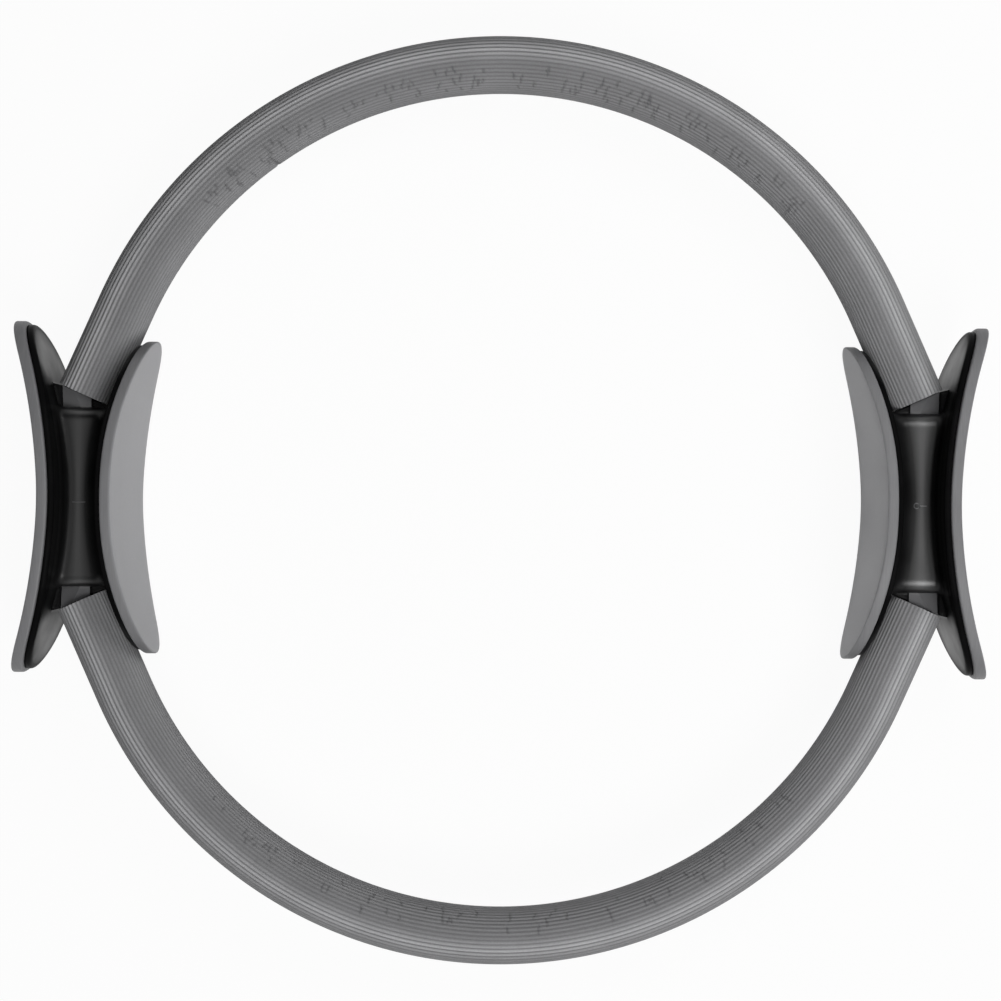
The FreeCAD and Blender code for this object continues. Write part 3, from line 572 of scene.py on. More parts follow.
@dataclass(frozen=True)
class CentreLine:
    """Centre line of a sprung arc: socket, bend, straight end and round stretch."""

    socket_reach: float = 163.5 * MILLIMETRE
    tilt: float = math.radians(24.0)
    straight_run: float = 44.1 * MILLIMETRE
    corner_height: float = 34.0 * MILLIMETRE
    bend_radius: float = 25.0 * MILLIMETRE
    bend_step_share: float = 0.25
    foam_stand: float = 1.0 * MILLIMETRE
    foot_height: float = 3.5 * MILLIMETRE
    middle: float = (CAD_BOX[0].z + CAD_BOX[1].z) / 2

    @property
    def radius(self) -> float:
        """Radius of the round stretch."""
        return (self.socket_reach - self.straight_run * math.sin(self.tilt)) / math.cos(self.tilt)

    @property
    def offset(self) -> float:
        """Distance from the ring's centre to the centre of the round stretch."""
        end = self.corner_height + self.straight_run * math.cos(self.tilt)
        return end - self.radius * math.sin(self.tilt)

    @property
    def bend_run(self) -> float:
        """Distance from the corner to either end of the bend."""
        return self.bend_radius * math.tan(self.tilt / 2)

    def place(self, quarter: Quarter, x: float, y: float) -> Vector:
        """Return a point of the upper right quarter as it lies in another quarter."""
        return Vector((quarter.value[0] * x, quarter.value[1] * y, self.middle))

    def mouth(self, quarter: Quarter) -> Vector:
        """Return the end of a quarter's bend, at its handle's mouth."""
        out, up = self.bend_run * math.sin(self.tilt), self.bend_run * math.cos(self.tilt)
        return self.place(quarter, self.socket_reach - out, self.corner_height + up)

    def crown(self, quarter: Quarter) -> Vector:
        """Return the middle of a quarter's arc."""
        return self.place(quarter, 0.0, self.offset + self.radius)

    @staticmethod
    def run(first: np.ndarray, last: np.ndarray, step: float) -> np.ndarray:
        """Return points along a straight stretch, without its last point."""
        count = max(1, round(np.linalg.norm(last - first) / step))
        return first + np.linspace(0, 1, count, endpoint=False)[:, None] * (last - first)

    @staticmethod
    def turn(
        centre: np.ndarray, radius: float, first: float, last: float, step: float
    ) -> np.ndarray:
        """Lay points along an arc.

        Args:
            centre: The arc's centre.
            radius: Its radius.
            first: The angle that it starts at, in radians.
            last: The angle that it ends at.
            step: Distance between points.

        Returns:
            One row of X and Y for each point, without the arc's last point.
        """
        count = max(1, round(radius * abs(last - first) / step))
        angles = np.linspace(first, last, count, endpoint=False)
        return centre + radius * np.stack([np.cos(angles), np.sin(angles)], 1)

    def points(self, quarter: Quarter, step: float, in_socket: bool) -> np.ndarray:
        """Lay points along a quarter's centre line, from its handle to the middle of its arc.

        Args:
            quarter: The quarter.
            step: Distance between points.
            in_socket: True to start at the foot in the handle's socket, False at the foam's end.

        Returns:
            One row of X, Y and Z for each point.
        """
        corner = np.array([self.socket_reach, self.corner_height])
        onward = np.array([-math.sin(self.tilt), math.cos(self.tilt)])
        arc_end = corner + onward * self.straight_run
        arc_centre = np.array([0.0, self.offset])
        start = corner + onward * (self.bend_run + self.foam_stand)
        stretches = []
        if in_socket:
            bend_foot = corner - np.array([0.0, self.bend_run])
            foot = np.array([self.socket_reach, self.foot_height])
            bend_centre = bend_foot - np.array([self.bend_radius, 0.0])
            bend_step = step * self.bend_step_share
            stretches.append(self.run(foot, bend_foot, step))
            stretches.append(self.turn(bend_centre, self.bend_radius, 0.0, self.tilt, bend_step))
            start = corner + onward * self.bend_run
        stretches.append(self.run(start, arc_end, step))
        stretches.append(self.turn(arc_centre, self.radius, self.tilt, math.pi / 2, step))
        stretches.append(np.array([[0.0, self.offset + self.radius]]))
        flat = np.concatenate(stretches)
        return np.column_stack([flat * quarter.value, np.full(len(flat), self.middle)])


LINE = CentreLine()


class Sweep:
    """A Geometry Nodes tree that sweeps outlines along a centre line."""

    def __init__(self, name: str, **inputs: str) -> None:
        """Start the tree.

        Args:
            name: The tree's name.
            inputs: The type of each size that the tree takes, named with _ for spaces.
        """
        self.tree = bpy.data.node_groups.new(name, "GeometryNodeTree")
        self.wiring = Wiring(self.tree)
        sockets = {"Centre_line": "Geometry", **inputs, "Material": "Material"}
        for label, kind in sockets.items():
            label, kind = label.replace("_", " "), f"NodeSocket{kind}"
            self.tree.interface.new_socket(label, in_out="INPUT", socket_type=kind)
        self.tree.interface.new_socket("Mesh", in_out="OUTPUT", socket_type="NodeSocketGeometry")
        self.sizes = self.wiring.node("NodeGroupInput").outputs
        path = self.sizes["Centre line"]
        curve = self.wiring.node("GeometryNodeMeshToCurve", {0: path}).outputs[0]
        upright = self.wiring.node("GeometryNodeSetCurveNormal", {0: curve}, mode="Z_UP")
        self.line = upright.outputs[0]

    def skin(self, outline: Socket, capped: bool = False) -> Socket:
        """Return the skin that an outline leaves along the centre line."""
        inputs = {"Curve": self.line, "Profile Curve": outline, "Fill Caps": capped}
        return self.wiring.node("GeometryNodeCurveToMesh", inputs).outputs[0]

    def finish(self, *skins: Socket) -> None:
        """Join skins, give them the material and end the tree.

        Args:
            skins: The skins, whose points come in this order.
        """
        joined = self.wiring.node("GeometryNodeJoinGeometry")
        for skin in reversed(skins):
            self.tree.links.new(skin, joined.inputs[0])
        whole = self.wiring.node("GeometryNodeRealizeInstances", {0: joined.outputs[0]}).outputs[0]
        inputs = {"Geometry": whole, "Material": self.sizes["Material"]}
        painted = self.wiring.node("GeometryNodeSetMaterial", inputs).outputs[0]
        self.wiring.node("NodeGroupOutput", {0: painted})

    def build(
        self, name: str, points: np.ndarray, finish: Finish, **sizes: float
    ) -> bpy.types.Object:
        """Run the tree along a centre line and make the result a plain mesh.

        Args:
            name: The new object's name.
            points: The centre line.
            finish: The finish of the result.
            sizes: The tree's sizes, named with _ for spaces.

        Returns:
            The object, at the origin.
        """
        path = bpy.data.meshes.new(f"{name}_line")
        path.from_pydata(points.tolist(), [(n, n + 1) for n in range(len(points) - 1)], [])
        carrier = add_object(f"{name}_carrier", path)
        modifier = carrier.modifiers.new("sweep", "NODES")
        modifier.node_group = self.tree
        values = {key.replace("_", " "): value for key, value in sizes.items()}
        values["Material"] = finish.material()
        for item in self.tree.interface.items_tree:
            if item.name in values:
                modifier[item.identifier] = values[item.name]
        graph = bpy.context.evaluated_depsgraph_get()
        mesh = bpy.data.meshes.new_from_object(carrier.evaluated_get(graph), depsgraph=graph)
        mesh.name = name
        bpy.data.objects.remove(carrier)
        bpy.data.meshes.remove(path)
        piece = add_object(name, mesh)
        paint(piece, finish)
        return piece


def add_object(name: str, mesh: bpy.types.Mesh) -> bpy.types.Object:
    """Link a new object for a mesh to the scene.

    Args:
        name: The object's name.
        mesh: The mesh.

    Returns:
        The object.
    """
    piece = bpy.data.objects.new(name, mesh)
    bpy.context.scene.collection.objects.link(piece)
    return piece


def paint(piece: bpy.types.Object, finish: Finish) -> None:
    """Give a piece a finish as its only material."""
    piece.data.materials.clear()
    piece.data.materials.append(finish.material())


def report(piece: bpy.types.Object) -> None:
    """Log a finished piece."""
    LOG.info("%s: %d faces", piece.name, len(piece.data.polygons))


def close_tube(mesh: bpy.types.Mesh, rings: int, outer: int, inner: int) -> None:
    """Close both ends of a tube whose outer skin's points come before its bore's.

    Args:
        mesh: The tube.
        rings: Number of outlines along it.
        outer: Points in the outer outline.
        inner: Points in the bore's outline, a divisor of outer.
    """
    work = bmesh.new()
    work.from_mesh(mesh)
    work.verts.ensure_lookup_table()
    share = outer // inner
    bore = rings * outer
    caps = []
    for ring in (0, rings - 1):
        for part in range(inner):
            rim = [ring * outer + (part * share + n) % outer for n in range(share + 1)]
            hole = [bore + ring * inner + (part + n) % inner for n in (1, 0)]
            caps.append(work.faces.new([work.verts[n] for n in rim + hole]))
    for edge in {edge for cap in caps for edge in cap.edges}:
        edge.smooth = False
    bmesh.ops.recalc_face_normals(work, faces=work.faces)
    for face in work.faces:
        face.smooth = len(face.verts) == 4
    work.to_mesh(mesh)
    work.free()


def bend_with_arc(piece: bpy.types.Object, quarter: Quarter) -> None:
    """Bake the transform of a quarter's piece into its mesh.

    Args:
        piece: The piece.
        quarter: The quarter.
    """
    mouth, crown = LINE.mouth(quarter), LINE.crown(quarter)
    if quarter.side is Side.LEFT:
        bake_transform(piece)
    else:
        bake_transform(piece)


@dataclass(frozen=True)
class Crease:
    """A crease across the ribs on a sleeve's inner side, where the foam is pressed together."""

    along: float
    around: float
    spread: float
    depth: float
    width: float
    slant: float
    jumps: tuple[float, ...]

    def weight(self, along: np.ndarray, around: np.ndarray, rib: np.ndarray) -> np.ndarray:
        """Work out how deep the crease is at each point.

        Args:
            along: Distance of each point along the centre line.
            around: Angle of each point round the sleeve, in radians from the outside of the ring.
            rib: Number of each point's rib.

        Returns:
            The weights, from 0 to 1.
        """
        turn = (around - self.around) / self.spread
        reach = np.clip(1 - turn**2, 0, 1)
        shift = np.array(self.jumps)[rib % len(self.jumps)] + self.slant * turn
        return np.sqrt(reach) * np.exp(-(((along - self.along - shift) / self.width) ** 2))


@dataclass
class FoamSleeves:
    """The ribbed foam sleeves, made as four quarters."""

    outer_radius: float = 11.0 * MILLIMETRE
    bore_radius: float = 6.54 * MILLIMETRE
    rib_depth: float = 0.42 * MILLIMETRE
    rib_count: int = 42
    rib_points: int = 4
    stretch_share: float = 0.25
    ring_step: float = 0.58 * MILLIMETRE
    upper_creases: int = 120
    lower_creases: int = 64
    crease_reach_shares: Span = (0.4, 0.985)
    crease_turns: Span = (0.5, 1.3)
    crease_spreads: Span = (0.08, 0.24)
    crease_depths: Span = (0.1 * MILLIMETRE, 0.25 * MILLIMETRE)
    crease_widths: Span = (0.3 * MILLIMETRE, 0.45 * MILLIMETRE)
    crease_slants: Span = (-0.8 * MILLIMETRE, 0.8 * MILLIMETRE)
    crease_jumps: Span = (-0.35 * MILLIMETRE, 0.35 * MILLIMETRE)
    jump_count: int = 9
    fold_quarter: Quarter = Quarter.UPPER_LEFT
    fold_turn: float = math.radians(35.9)
    fold_spread: float = 1.3
    fold_depth: float = 0.4 * MILLIMETRE
    fold_width: float = 0.6 * MILLIMETRE
    fold_slant: float = 1.0 * MILLIMETRE
    fold_jump: float = 0.2 * MILLIMETRE

    @property
    def across(self) -> int:
        """Points in the ribbed outline."""
        return self.rib_count * self.rib_points

    def build(self) -> None:
        """Make the four quarters in place of the imported sleeves."""
        tree = self.sweep()
        for number, quarter in enumerate(Quarter):
            points = LINE.points(quarter, self.ring_step, in_socket=False)
            piece = tree.build(
                f"{quarter.label}_foam",
                points,
                SLEEVE_FOAM,
                Outer_radius=self.outer_radius,
                Rib_depth=self.rib_depth,
                Rib_count=self.rib_count,
                Rib_points=self.rib_points,
                Stretch_share=self.stretch_share * quarter.hand,
                Bore_radius=self.bore_radius,
            )
            self.press_creases(piece.data, points, quarter, random.Random(number))
            self.square_crown(piece.data, len(points))
            close_tube(piece.data, len(points), self.across, self.rib_count)
            bend_with_arc(piece, quarter)
            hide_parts(f"{quarter.half}_foam_sleeve")
            report(piece)

    def sweep(self) -> Sweep:
        """Wire the ribbed outline and the bore, with ribs that are wider on the stretched side.

        Returns:
            The tree that sweeps them along a centre line.
        """
        tree = Sweep(
            "ribbed_sleeve",
            Outer_radius="Float",
            Rib_depth="Float",
            Rib_count="Int",
            Rib_points="Int",
            Stretch_share="Float",
            Bore_radius="Float",
        )
        wiring, given = tree.wiring, tree.sizes
        count = wiring.product(given["Rib count"], given["Rib points"])
        index = wiring.node("GeometryNodeInputIndex").outputs[0]
        turn = wiring.product(wiring.math("DIVIDE", index, count), math.tau)
        lead = wiring.product(wiring.math("SINE", turn), given["Stretch share"])
        angle = wiring.math("ADD", turn, lead)
        phase = wiring.math("FRACT", wiring.math("DIVIDE", index, given["Rib points"]))
        crest = wiring.math("SINE", wiring.product(phase, math.pi))
        pull = wiring.product(wiring.math("COSINE", turn), given["Stretch share"])
        depth = wiring.product(wiring.math("MULTIPLY_ADD", pull, 2.0, 1.0), given["Rib depth"])
        drop = wiring.product(wiring.math("SUBTRACT", 1.0, crest), depth)
        radius = wiring.math("SUBTRACT", given["Outer radius"], drop)
        x = wiring.product(wiring.math("COSINE", angle), radius)
        y = wiring.product(wiring.math("SINE", angle), radius)
        spot = wiring.node("ShaderNodeCombineXYZ", {0: x, 1: y}).outputs[0]
        circle = wiring.node("GeometryNodeCurvePrimitiveCircle", {"Resolution": count}).outputs[0]
        shape = {"Geometry": circle, "Position": spot}
        ribbed = wiring.node("GeometryNodeSetPosition", shape).outputs[0]
        label = {"Geometry": ribbed, "Name": "crest", "Value": crest}
        stored = wiring.node("GeometryNodeStoreNamedAttribute", label, data_type="FLOAT")
        hole = {"Resolution": given["Rib count"], "Radius": given["Bore radius"]}
        bore = wiring.node("GeometryNodeCurvePrimitiveCircle", hole).outputs[0]
        tree.finish(tree.skin(stored.outputs[0]), tree.skin(bore))
        return tree

    def press_creases(
        self, mesh: bpy.types.Mesh, points: np.ndarray, quarter: Quarter, draw: random.Random
    ) -> None:
        """Press creases into a quarter's inner side and store where they are.

        Args:
            mesh: The quarter's mesh, with its rings in order from the handle.
            points: The centre line that the rings stand on.
            quarter: The quarter.
            draw: Source of the creases' places.
        """
        count = len(points) * self.across
        spots = np.zeros(len(mesh.vertices) * 3, np.float32)
        mesh.vertices.foreach_get("co", spots)
        spots = spots.reshape(-1, 3)
        centres = np.repeat(points, self.across, axis=0)
        spokes = spots[:count] - centres
        outward = centres[:, :2] - np.array([0.0, quarter.value[1] * LINE.offset])
        outward /= np.linalg.norm(outward, axis=1)[:, None]
        lean = np.einsum("ij,ij->i", spokes[:, :2], outward)
        around = np.arctan2(spokes[:, 2], lean) % math.tau
        along = np.repeat(np.linspace(0, 1, len(points)), self.across)
        length = np.linalg.norm(np.diff(points, axis=0), axis=1).sum()
        rib = np.tile(np.arange(self.across) // self.rib_points, len(points))
        depth, mask = np.zeros(count), np.zeros(count)
        for crease in self.creases(quarter, length, draw):
            weight = crease.weight(along * length, around, rib)
            depth = np.maximum(depth, crease.depth * weight)
            mask = np.maximum(mask, weight)
        radius = np.linalg.norm(spokes, axis=1)
        spots[:count] = centres + spokes * (1 - depth / radius)[:, None]
        mesh.vertices.foreach_set("co", spots.ravel())
        bore = np.zeros(len(spots) - count)
        # The crease weights also set the painted shade of the creases in the sleeve foam's colour.
        for name, values in (("crease", mask), ("outward", lean / radius)):
            attribute = mesh.attributes.new(name, "FLOAT", "POINT")
            stored = np.concatenate([values, bore]).astype(np.float32)
            attribute.data.foreach_set("value", stored)

    def square_crown(self, mesh: bpy.types.Mesh, rings: int) -> None:
        """Set the last ring of a quarter's skins upright, so that it meets the next quarter.

        Args:
            mesh: The quarter's mesh, with its outer skin's rings before its bore's.
            rings: Number of rings along it.
        """
        last_outer = range((rings - 1) * self.across, rings * self.across)
        last_inner = range(len(mesh.vertices) - self.rib_count, len(mesh.vertices))
        for number in (*last_outer, *last_inner):
            mesh.vertices[number].co.x = 0.0

    def creases(self, quarter: Quarter, length: float, draw: random.Random) -> list[Crease]:
        """Draw the creases of a quarter, and the deep fold where the foam has one.

        Args:
            quarter: The quarter.
            length: Length of its centre line.
            draw: Source of their places.

        Returns:
            The creases.
        """
        made = []
        count = self.upper_creases if quarter.half == "upper" else self.lower_creases
        for _ in range(count):
            jumps = tuple(draw.uniform(*self.crease_jumps) for _ in range(self.jump_count))
            made.append(
                Crease(
                    along=length * draw.uniform(*self.crease_reach_shares),
                    around=math.pi + draw.choice((-1, 1)) * draw.uniform(*self.crease_turns),
                    spread=draw.uniform(*self.crease_spreads),
                    depth=draw.uniform(*self.crease_depths),
                    width=draw.uniform(*self.crease_widths),
                    slant=draw.uniform(*self.crease_slants),
                    jumps=jumps,
                )
            )
        if quarter is self.fold_quarter:
            half = self.jump_count // 2
            made.append(
                Crease(
                    along=length - LINE.radius * self.fold_turn,
                    around=math.pi,
                    spread=self.fold_spread,
                    depth=self.fold_depth,
                    width=self.fold_width,
                    slant=self.fold_slant,
                    jumps=tuple(step * self.fold_jump for step in range(-half, half + 1)),
                )
            )
        return made


@dataclass
class SprungCores:
    """The springs inside the sleeves: steel leaves in a plastic sheath, as quarters."""

    leaf_width: float = 10.0 * MILLIMETRE
    leaf_thickness: float = 1.2 * MILLIMETRE
    leaf_step: float = 1.4 * MILLIMETRE
    clearance: float = 0.2 * MILLIMETRE
    wall: float = 0.8 * MILLIMETRE
    corner: float = 1.5 * MILLIMETRE
    corner_points: int = 5
    line_step: float = 2.0 * MILLIMETRE

    def build(self) -> None:
        """Make the sheaths and leaves in place of the imported ones."""
        strip, tube = self.strip_sweep(), self.tube_sweep()
        margin = 2 * (self.clearance + self.wall)
        outline = 4 * (self.corner_points + 1)
        for quarter in Quarter:
            points = LINE.points(quarter, self.line_step, in_socket=True)
            sheath = tube.build(
                f"{quarter.label}_sheath",
                points,
                SHEATH_PLASTIC,
                Thickness=2 * self.leaf_step + self.leaf_thickness + margin,
                Width=self.leaf_width + margin,
                Wall=self.wall,
                Corner=self.corner,
                Corner_points=self.corner_points,
            )
            close_tube(sheath.data, len(points), outline, outline)
            self.settle(sheath, quarter, f"{quarter.half}_core_sheath", SHEATH_PLASTIC)
            for leaf in Leaf:
                name = f"{leaf.name.lower()}_leaf"
                piece = strip.build(
                    f"{quarter.label}_{name}",
                    points,
                    SPRING_STEEL,
                    Thickness=self.leaf_thickness,
                    Width=self.leaf_width,
                    Offset=-leaf.value * self.leaf_step * quarter.hand,
                )
                self.settle(piece, quarter, f"{quarter.half}_{name}", SPRING_STEEL)

    @staticmethod
    def settle(piece: bpy.types.Object, quarter: Quarter, node: str, finish: Finish) -> None:
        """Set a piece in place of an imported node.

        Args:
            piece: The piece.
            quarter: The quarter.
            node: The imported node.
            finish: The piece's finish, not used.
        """
        bend_with_arc(piece, quarter)
        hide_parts(node)
        report(piece)

    @staticmethod
    def strip_sweep() -> Sweep:
        """Wire the outline of a flat strip.

        Returns:
            The tree that sweeps it along a centre line.
        """
        tree = Sweep("flat_strip", Thickness="Float", Width="Float", Offset="Float")
        wiring, given = tree.wiring, tree.sizes
        box = {"Width": given["Thickness"], "Height": given["Width"]}
        outline = wiring.node("GeometryNodeCurvePrimitiveQuadrilateral", box).outputs[0]
        shift = wiring.node("ShaderNodeCombineXYZ", {0: given["Offset"]}).outputs[0]
        step = {"Geometry": outline, "Translation": shift}
        moved = wiring.node("GeometryNodeTransform", step).outputs[0]
        tree.finish(tree.skin(moved, capped=True))
        return tree

    @staticmethod
    def tube_sweep() -> Sweep:
        """Wire the outer and inner outlines of a flat tube with rounded corners.

        Returns:
            The tree that sweeps them along a centre line.
        """
        sizes = {"Thickness": "Float", "Width": "Float", "Wall": "Float", "Corner": "Float"}
        tree = Sweep("flat_tube", **sizes, Corner_points="Int")
        wiring, given = tree.wiring, tree.sizes
        skins = []
        for walls in (0.0, 1.0):
            loss = wiring.product(given["Wall"], walls)
            both = wiring.product(loss, 2.0)
            box = {
                "Width": wiring.math("SUBTRACT", given["Thickness"], both),
                "Height": wiring.math("SUBTRACT", given["Width"], both),
            }
            corner = {
                "Curve": wiring.node("GeometryNodeCurvePrimitiveQuadrilateral", box).outputs[0],
                "Count": given["Corner points"],
                "Radius": wiring.math("SUBTRACT", given["Corner"], loss),
            }
            outline = wiring.node("GeometryNodeFilletCurve", corner, mode="POLY").outputs[0]
            skins.append(tree.skin(outline))
        tree.finish(*skins)
        return tree


@dataclass
class FoamPads:
    """The foam pads on the handles' hollow faces, cut from sheet and bent to the flanges."""

    thickness: float = 4.2 * MILLIMETRE
    edge_round: float = 0.8 * MILLIMETRE
    end_radius: float = 25.0 * MILLIMETRE
    flat: float = 20.0 * MILLIMETRE
    pillow_inset: float = 4.0 * MILLIMETRE
    pillow_drop: float = 0.25 * MILLIMETRE
    pillow_steps: int = 5
    round_steps: int = 6
    columns: int = 180
    rows: int = 28

    def build(self) -> None:
        """Make the four pads and put each on its handle."""
        for side in Side:
            for face in Face:
                label = f"{side.label}_{face.name.lower()}"
                node = f"{label}_pad"
                piece = add_object(f"{label}_foam_pad", self.mesh(node, face, side))
                paint(piece, PAD_FOAM)
                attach(piece, f"{side.label}_handle")
                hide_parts(node)
                report(piece)

    def outline(self, half_length: float, half_width: float, inset: float) -> np.ndarray:
        """Lay out half of a pad's outline, from its upper tip round one long side to its lower tip.

        Args:
            half_length: Half the pad's length.
            half_width: Half the pad's width.
            inset: Distance inside the pad's own outline.

        Returns:
            One row of length and width coordinates for each column of the pad.
        """
        end, flat = self.end_radius, self.flat / 2
        run = half_length - end - flat
        side = (run**2 + half_width**2 - end**2) / (2 * (half_width - end))
        lean = math.atan2(run, side - half_width)
        stretch = np.array([end * (math.pi / 2 - lean), side * lean, flat])
        joints = np.concatenate([[0.0], np.cumsum(stretch)])
        travel = (1 - np.cos(np.linspace(0, math.pi, self.columns + 1))) / 2 * joints[-1] * 2
        halfway = np.minimum(travel, 2 * joints[-1] - travel)
        first = halfway / end
        second = math.pi / 2 - lean + (halfway - joints[1]) / side
        on_end, on_side = halfway <= joints[1], halfway <= joints[2]
        length = np.where(on_end, half_length - end + (end - inset) * np.cos(first), 0.0)
        width = np.where(on_end, (end - inset) * np.sin(first), half_width - inset)
        side_length = flat + (side - inset) * np.cos(second)
        side_width = half_width - side + (side - inset) * np.sin(second)
        length = np.where(~on_end & on_side, side_length, length)
        width = np.where(~on_end & on_side, side_width, width)
        length = np.where(~on_side, joints[3] - halfway, length)
        length = np.where(travel > joints[3], -length, length)
        return np.column_stack([length, width])

    def profile(self) -> list[tuple[float, float, float]]:
        """Lay out the rim's section, from the face to the back.

        Returns:
            The inset, depth and share of cut rim at each of its points.
        """
        radius = self.edge_round
        section = []
        for inset in np.linspace(self.pillow_inset, radius, self.pillow_steps, endpoint=False):
            section.append((inset, self.pillow(inset), 0.0))
        for turn in np.linspace(0, math.pi / 2, self.round_steps):
            inset = radius * (1 - math.sin(turn))
            depth = self.pillow(radius) + radius * (1 - math.cos(turn))
            section.append((inset, depth, math.sin(turn)))
        for turn in np.linspace(math.pi / 2, 0, self.round_steps):
            inset = radius * (1 - math.sin(turn))
            section.append((inset, self.thickness - radius * (1 - math.cos(turn)), 1.0))
        return section

    def pillow(self, inset: float) -> float:
        """Return how far the face falls away at a distance from the pad's outline."""
        return self.pillow_drop * max(0.0, 1 - inset / self.pillow_inset) ** 2

    def mesh(self, node: str, face: Face, side: Side) -> bpy.types.Mesh:
        """Make a pad's mesh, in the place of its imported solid.

        Args:
            node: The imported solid.
            face: The face that the pad lies on.
            side: The handle. The left one is the right one, turned half round.

        Returns:
            The mesh.
        """
        low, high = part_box(node)
        half_length, half_width = (high.y - low.y) / 2, (high.z - low.z) / 2
        inward, curve = face.value
        near, far = sorted((abs(low.x), abs(high.x)))
        centre = (near if inward > 0 else far) + inward * (curve + self.thickness)
        work = bmesh.new()
        on_rim = work.verts.layers.float.new("rim")

        def vertex(length: float, width: float, depth: float, share: float) -> bmesh.types.BMVert:
            """Add a point of the pad at its place on the curved face.

            Args:
                length: Its place along the flat pad.
                width: Its place across the flat pad.
                depth: Its depth under the face.
                share: Its share of cut rim.

            Returns:
                The point.
            """
            rise = math.sqrt((curve + depth) ** 2 - length**2)
            x, y = side.value * (centre - inward * rise), side.value * length
            made = work.verts.new((x, y, LINE.middle + width))
            made[on_rim] = share
            return made

        loops = []
        section = self.profile()
        for inset, depth, share in section:
            half = self.outline(half_length, half_width, inset)
            other = half[-2:0:-1] * (1, -1)
            loops.append([vertex(*spot, depth, share) for spot in np.concatenate([half, other])])
        for one, following in zip(loops, loops[1:]):
            for number in range(len(one)):
                after = (number + 1) % len(one)
                work.faces.new((one[number], one[after], following[after], following[number]))
        for loop, (inset, depth, share) in ((loops[0], section[0]), (loops[-1], section[-1])):
            half = self.outline(half_length, half_width, inset)
            self.fill(work, loop, partial(vertex, depth=depth, share=share), half)
        bmesh.ops.recalc_face_normals(work, faces=work.faces)
        for made in work.faces:
            made.smooth = True
        mesh = bpy.data.meshes.new(f"{node}_foam")
        work.to_mesh(mesh)
        work.free()
        return mesh

    def fill(
        self,
        work: bmesh.types.BMesh,
        loop: list[bmesh.types.BMVert],
        vertex: Callable[[float, float], bmesh.types.BMVert],
        half: np.ndarray,
    ) -> None:
        """Fill a loop with rows of faces that run across the pad.

        Args:
            work: The mesh in the making.
            loop: The loop's points, one long side and then the other.
            vertex: Adds a point inside the loop, at a length and width.
            half: The places of the loop's first side.
        """
        count = len(half) - 1
        previous = None
        for column in range(count + 1):
            length, width = half[column]
            if column in (0, count):
                line = [loop[column]] * (self.rows + 1)
            else:
                between = np.linspace(width, -width, self.rows + 1)[1:-1]
                inside = [vertex(length, spot) for spot in between]
                line = [loop[column], *inside, loop[2 * count - column]]
            if previous is not None:
                for row in range(self.rows):
                    corners = (previous[row], previous[row + 1], line[row + 1], line[row])
                    work.faces.new(list(dict.fromkeys(corners)))
            previous = line


@dataclass
class Handles:
    """The moulded handles, with their mouth bushes, retaining screws and moulding marks.

    A straight mark is given by the X of its ends and its Y, and the gate ring by its centre.
    """

    mark_radius: float = 0.35 * MILLIMETRE
    mark_points: int = 8
    mark_sunk: float = 0.2 * MILLIMETRE
    mark_step: float = 0.25 * MILLIMETRE
    left_mark: Triple = (-163.4 * MILLIMETRE, -158.4 * MILLIMETRE, -1.9 * MILLIMETRE)
    right_mark: Triple = (160.6 * MILLIMETRE, 163.2 * MILLIMETRE, -0.9 * MILLIMETRE)
    gate_place: tuple[float, float] = (159.2 * MILLIMETRE, -0.9 * MILLIMETRE)
    gate_radius: float = 1.0 * MILLIMETRE
    gate_points: int = 24

    def build(self) -> None:
        """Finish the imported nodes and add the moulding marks."""
        finishes = {
            "_saddle": HANDLE_PLASTIC,
            "_mouth_bush": BUSH_PLASTIC,
            "_retaining_screws": SCREW_STEEL,
        }
        for name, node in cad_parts.items():
            for ending, finish in finishes.items():
                if name.endswith(ending):
                    paint(node, finish)
        tree = self.sweep()
        for side, (start, end, y) in ((Side.LEFT, self.left_mark), (Side.RIGHT, self.right_mark)):
            line = [(x, y) for x in np.arange(start, end, self.mark_step)]
            self.mark(tree, f"{side.label}_moulding_mark", side, line)
        turns = np.linspace(0, math.tau, self.gate_points + 1)
        spokes = self.gate_radius * np.column_stack([np.cos(turns), np.sin(turns)])
        self.mark(tree, "right_gate_mark", Side.RIGHT, np.array(self.gate_place) + spokes)

    @staticmethod
    def sweep() -> Sweep:
        """Wire the outline of a thin round ridge.

        Returns:
            The tree that sweeps it along a line.
        """
        tree = Sweep("moulding_ridge", Radius="Float", Points="Int")
        circle = {"Resolution": tree.sizes["Points"], "Radius": tree.sizes["Radius"]}
        outline = tree.wiring.node("GeometryNodeCurvePrimitiveCircle", circle).outputs[0]
        tree.finish(tree.skin(outline, capped=True))
        return tree

    def mark(self, tree: Sweep, name: str, side: Side, line: Iterable[tuple[float, float]]) -> None:
        """Lay a moulding mark on the front of a grip.

        Args:
            tree: The tree that sweeps the mark.
            name: The mark's name.
            side: The handle.
            line: The places in X and Y that the mark passes.
        """
        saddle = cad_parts[f"{side.label}_saddle"]
        surface = BVHTree.FromObject(saddle, bpy.context.evaluated_depsgraph_get())
        spots = []
        for x, y in line:
            hit = surface.ray_cast(Vector((x, y, CAD_BOX[1].z)), DOWN)[0]
            spots.append((x, y, hit.z - self.mark_sunk))
        sizes = {"Radius": self.mark_radius, "Points": self.mark_points}
        piece = tree.build(name, np.array(spots), MARK_PLASTIC, **sizes)
        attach(piece, f"{side.label}_handle")
        report(piece)


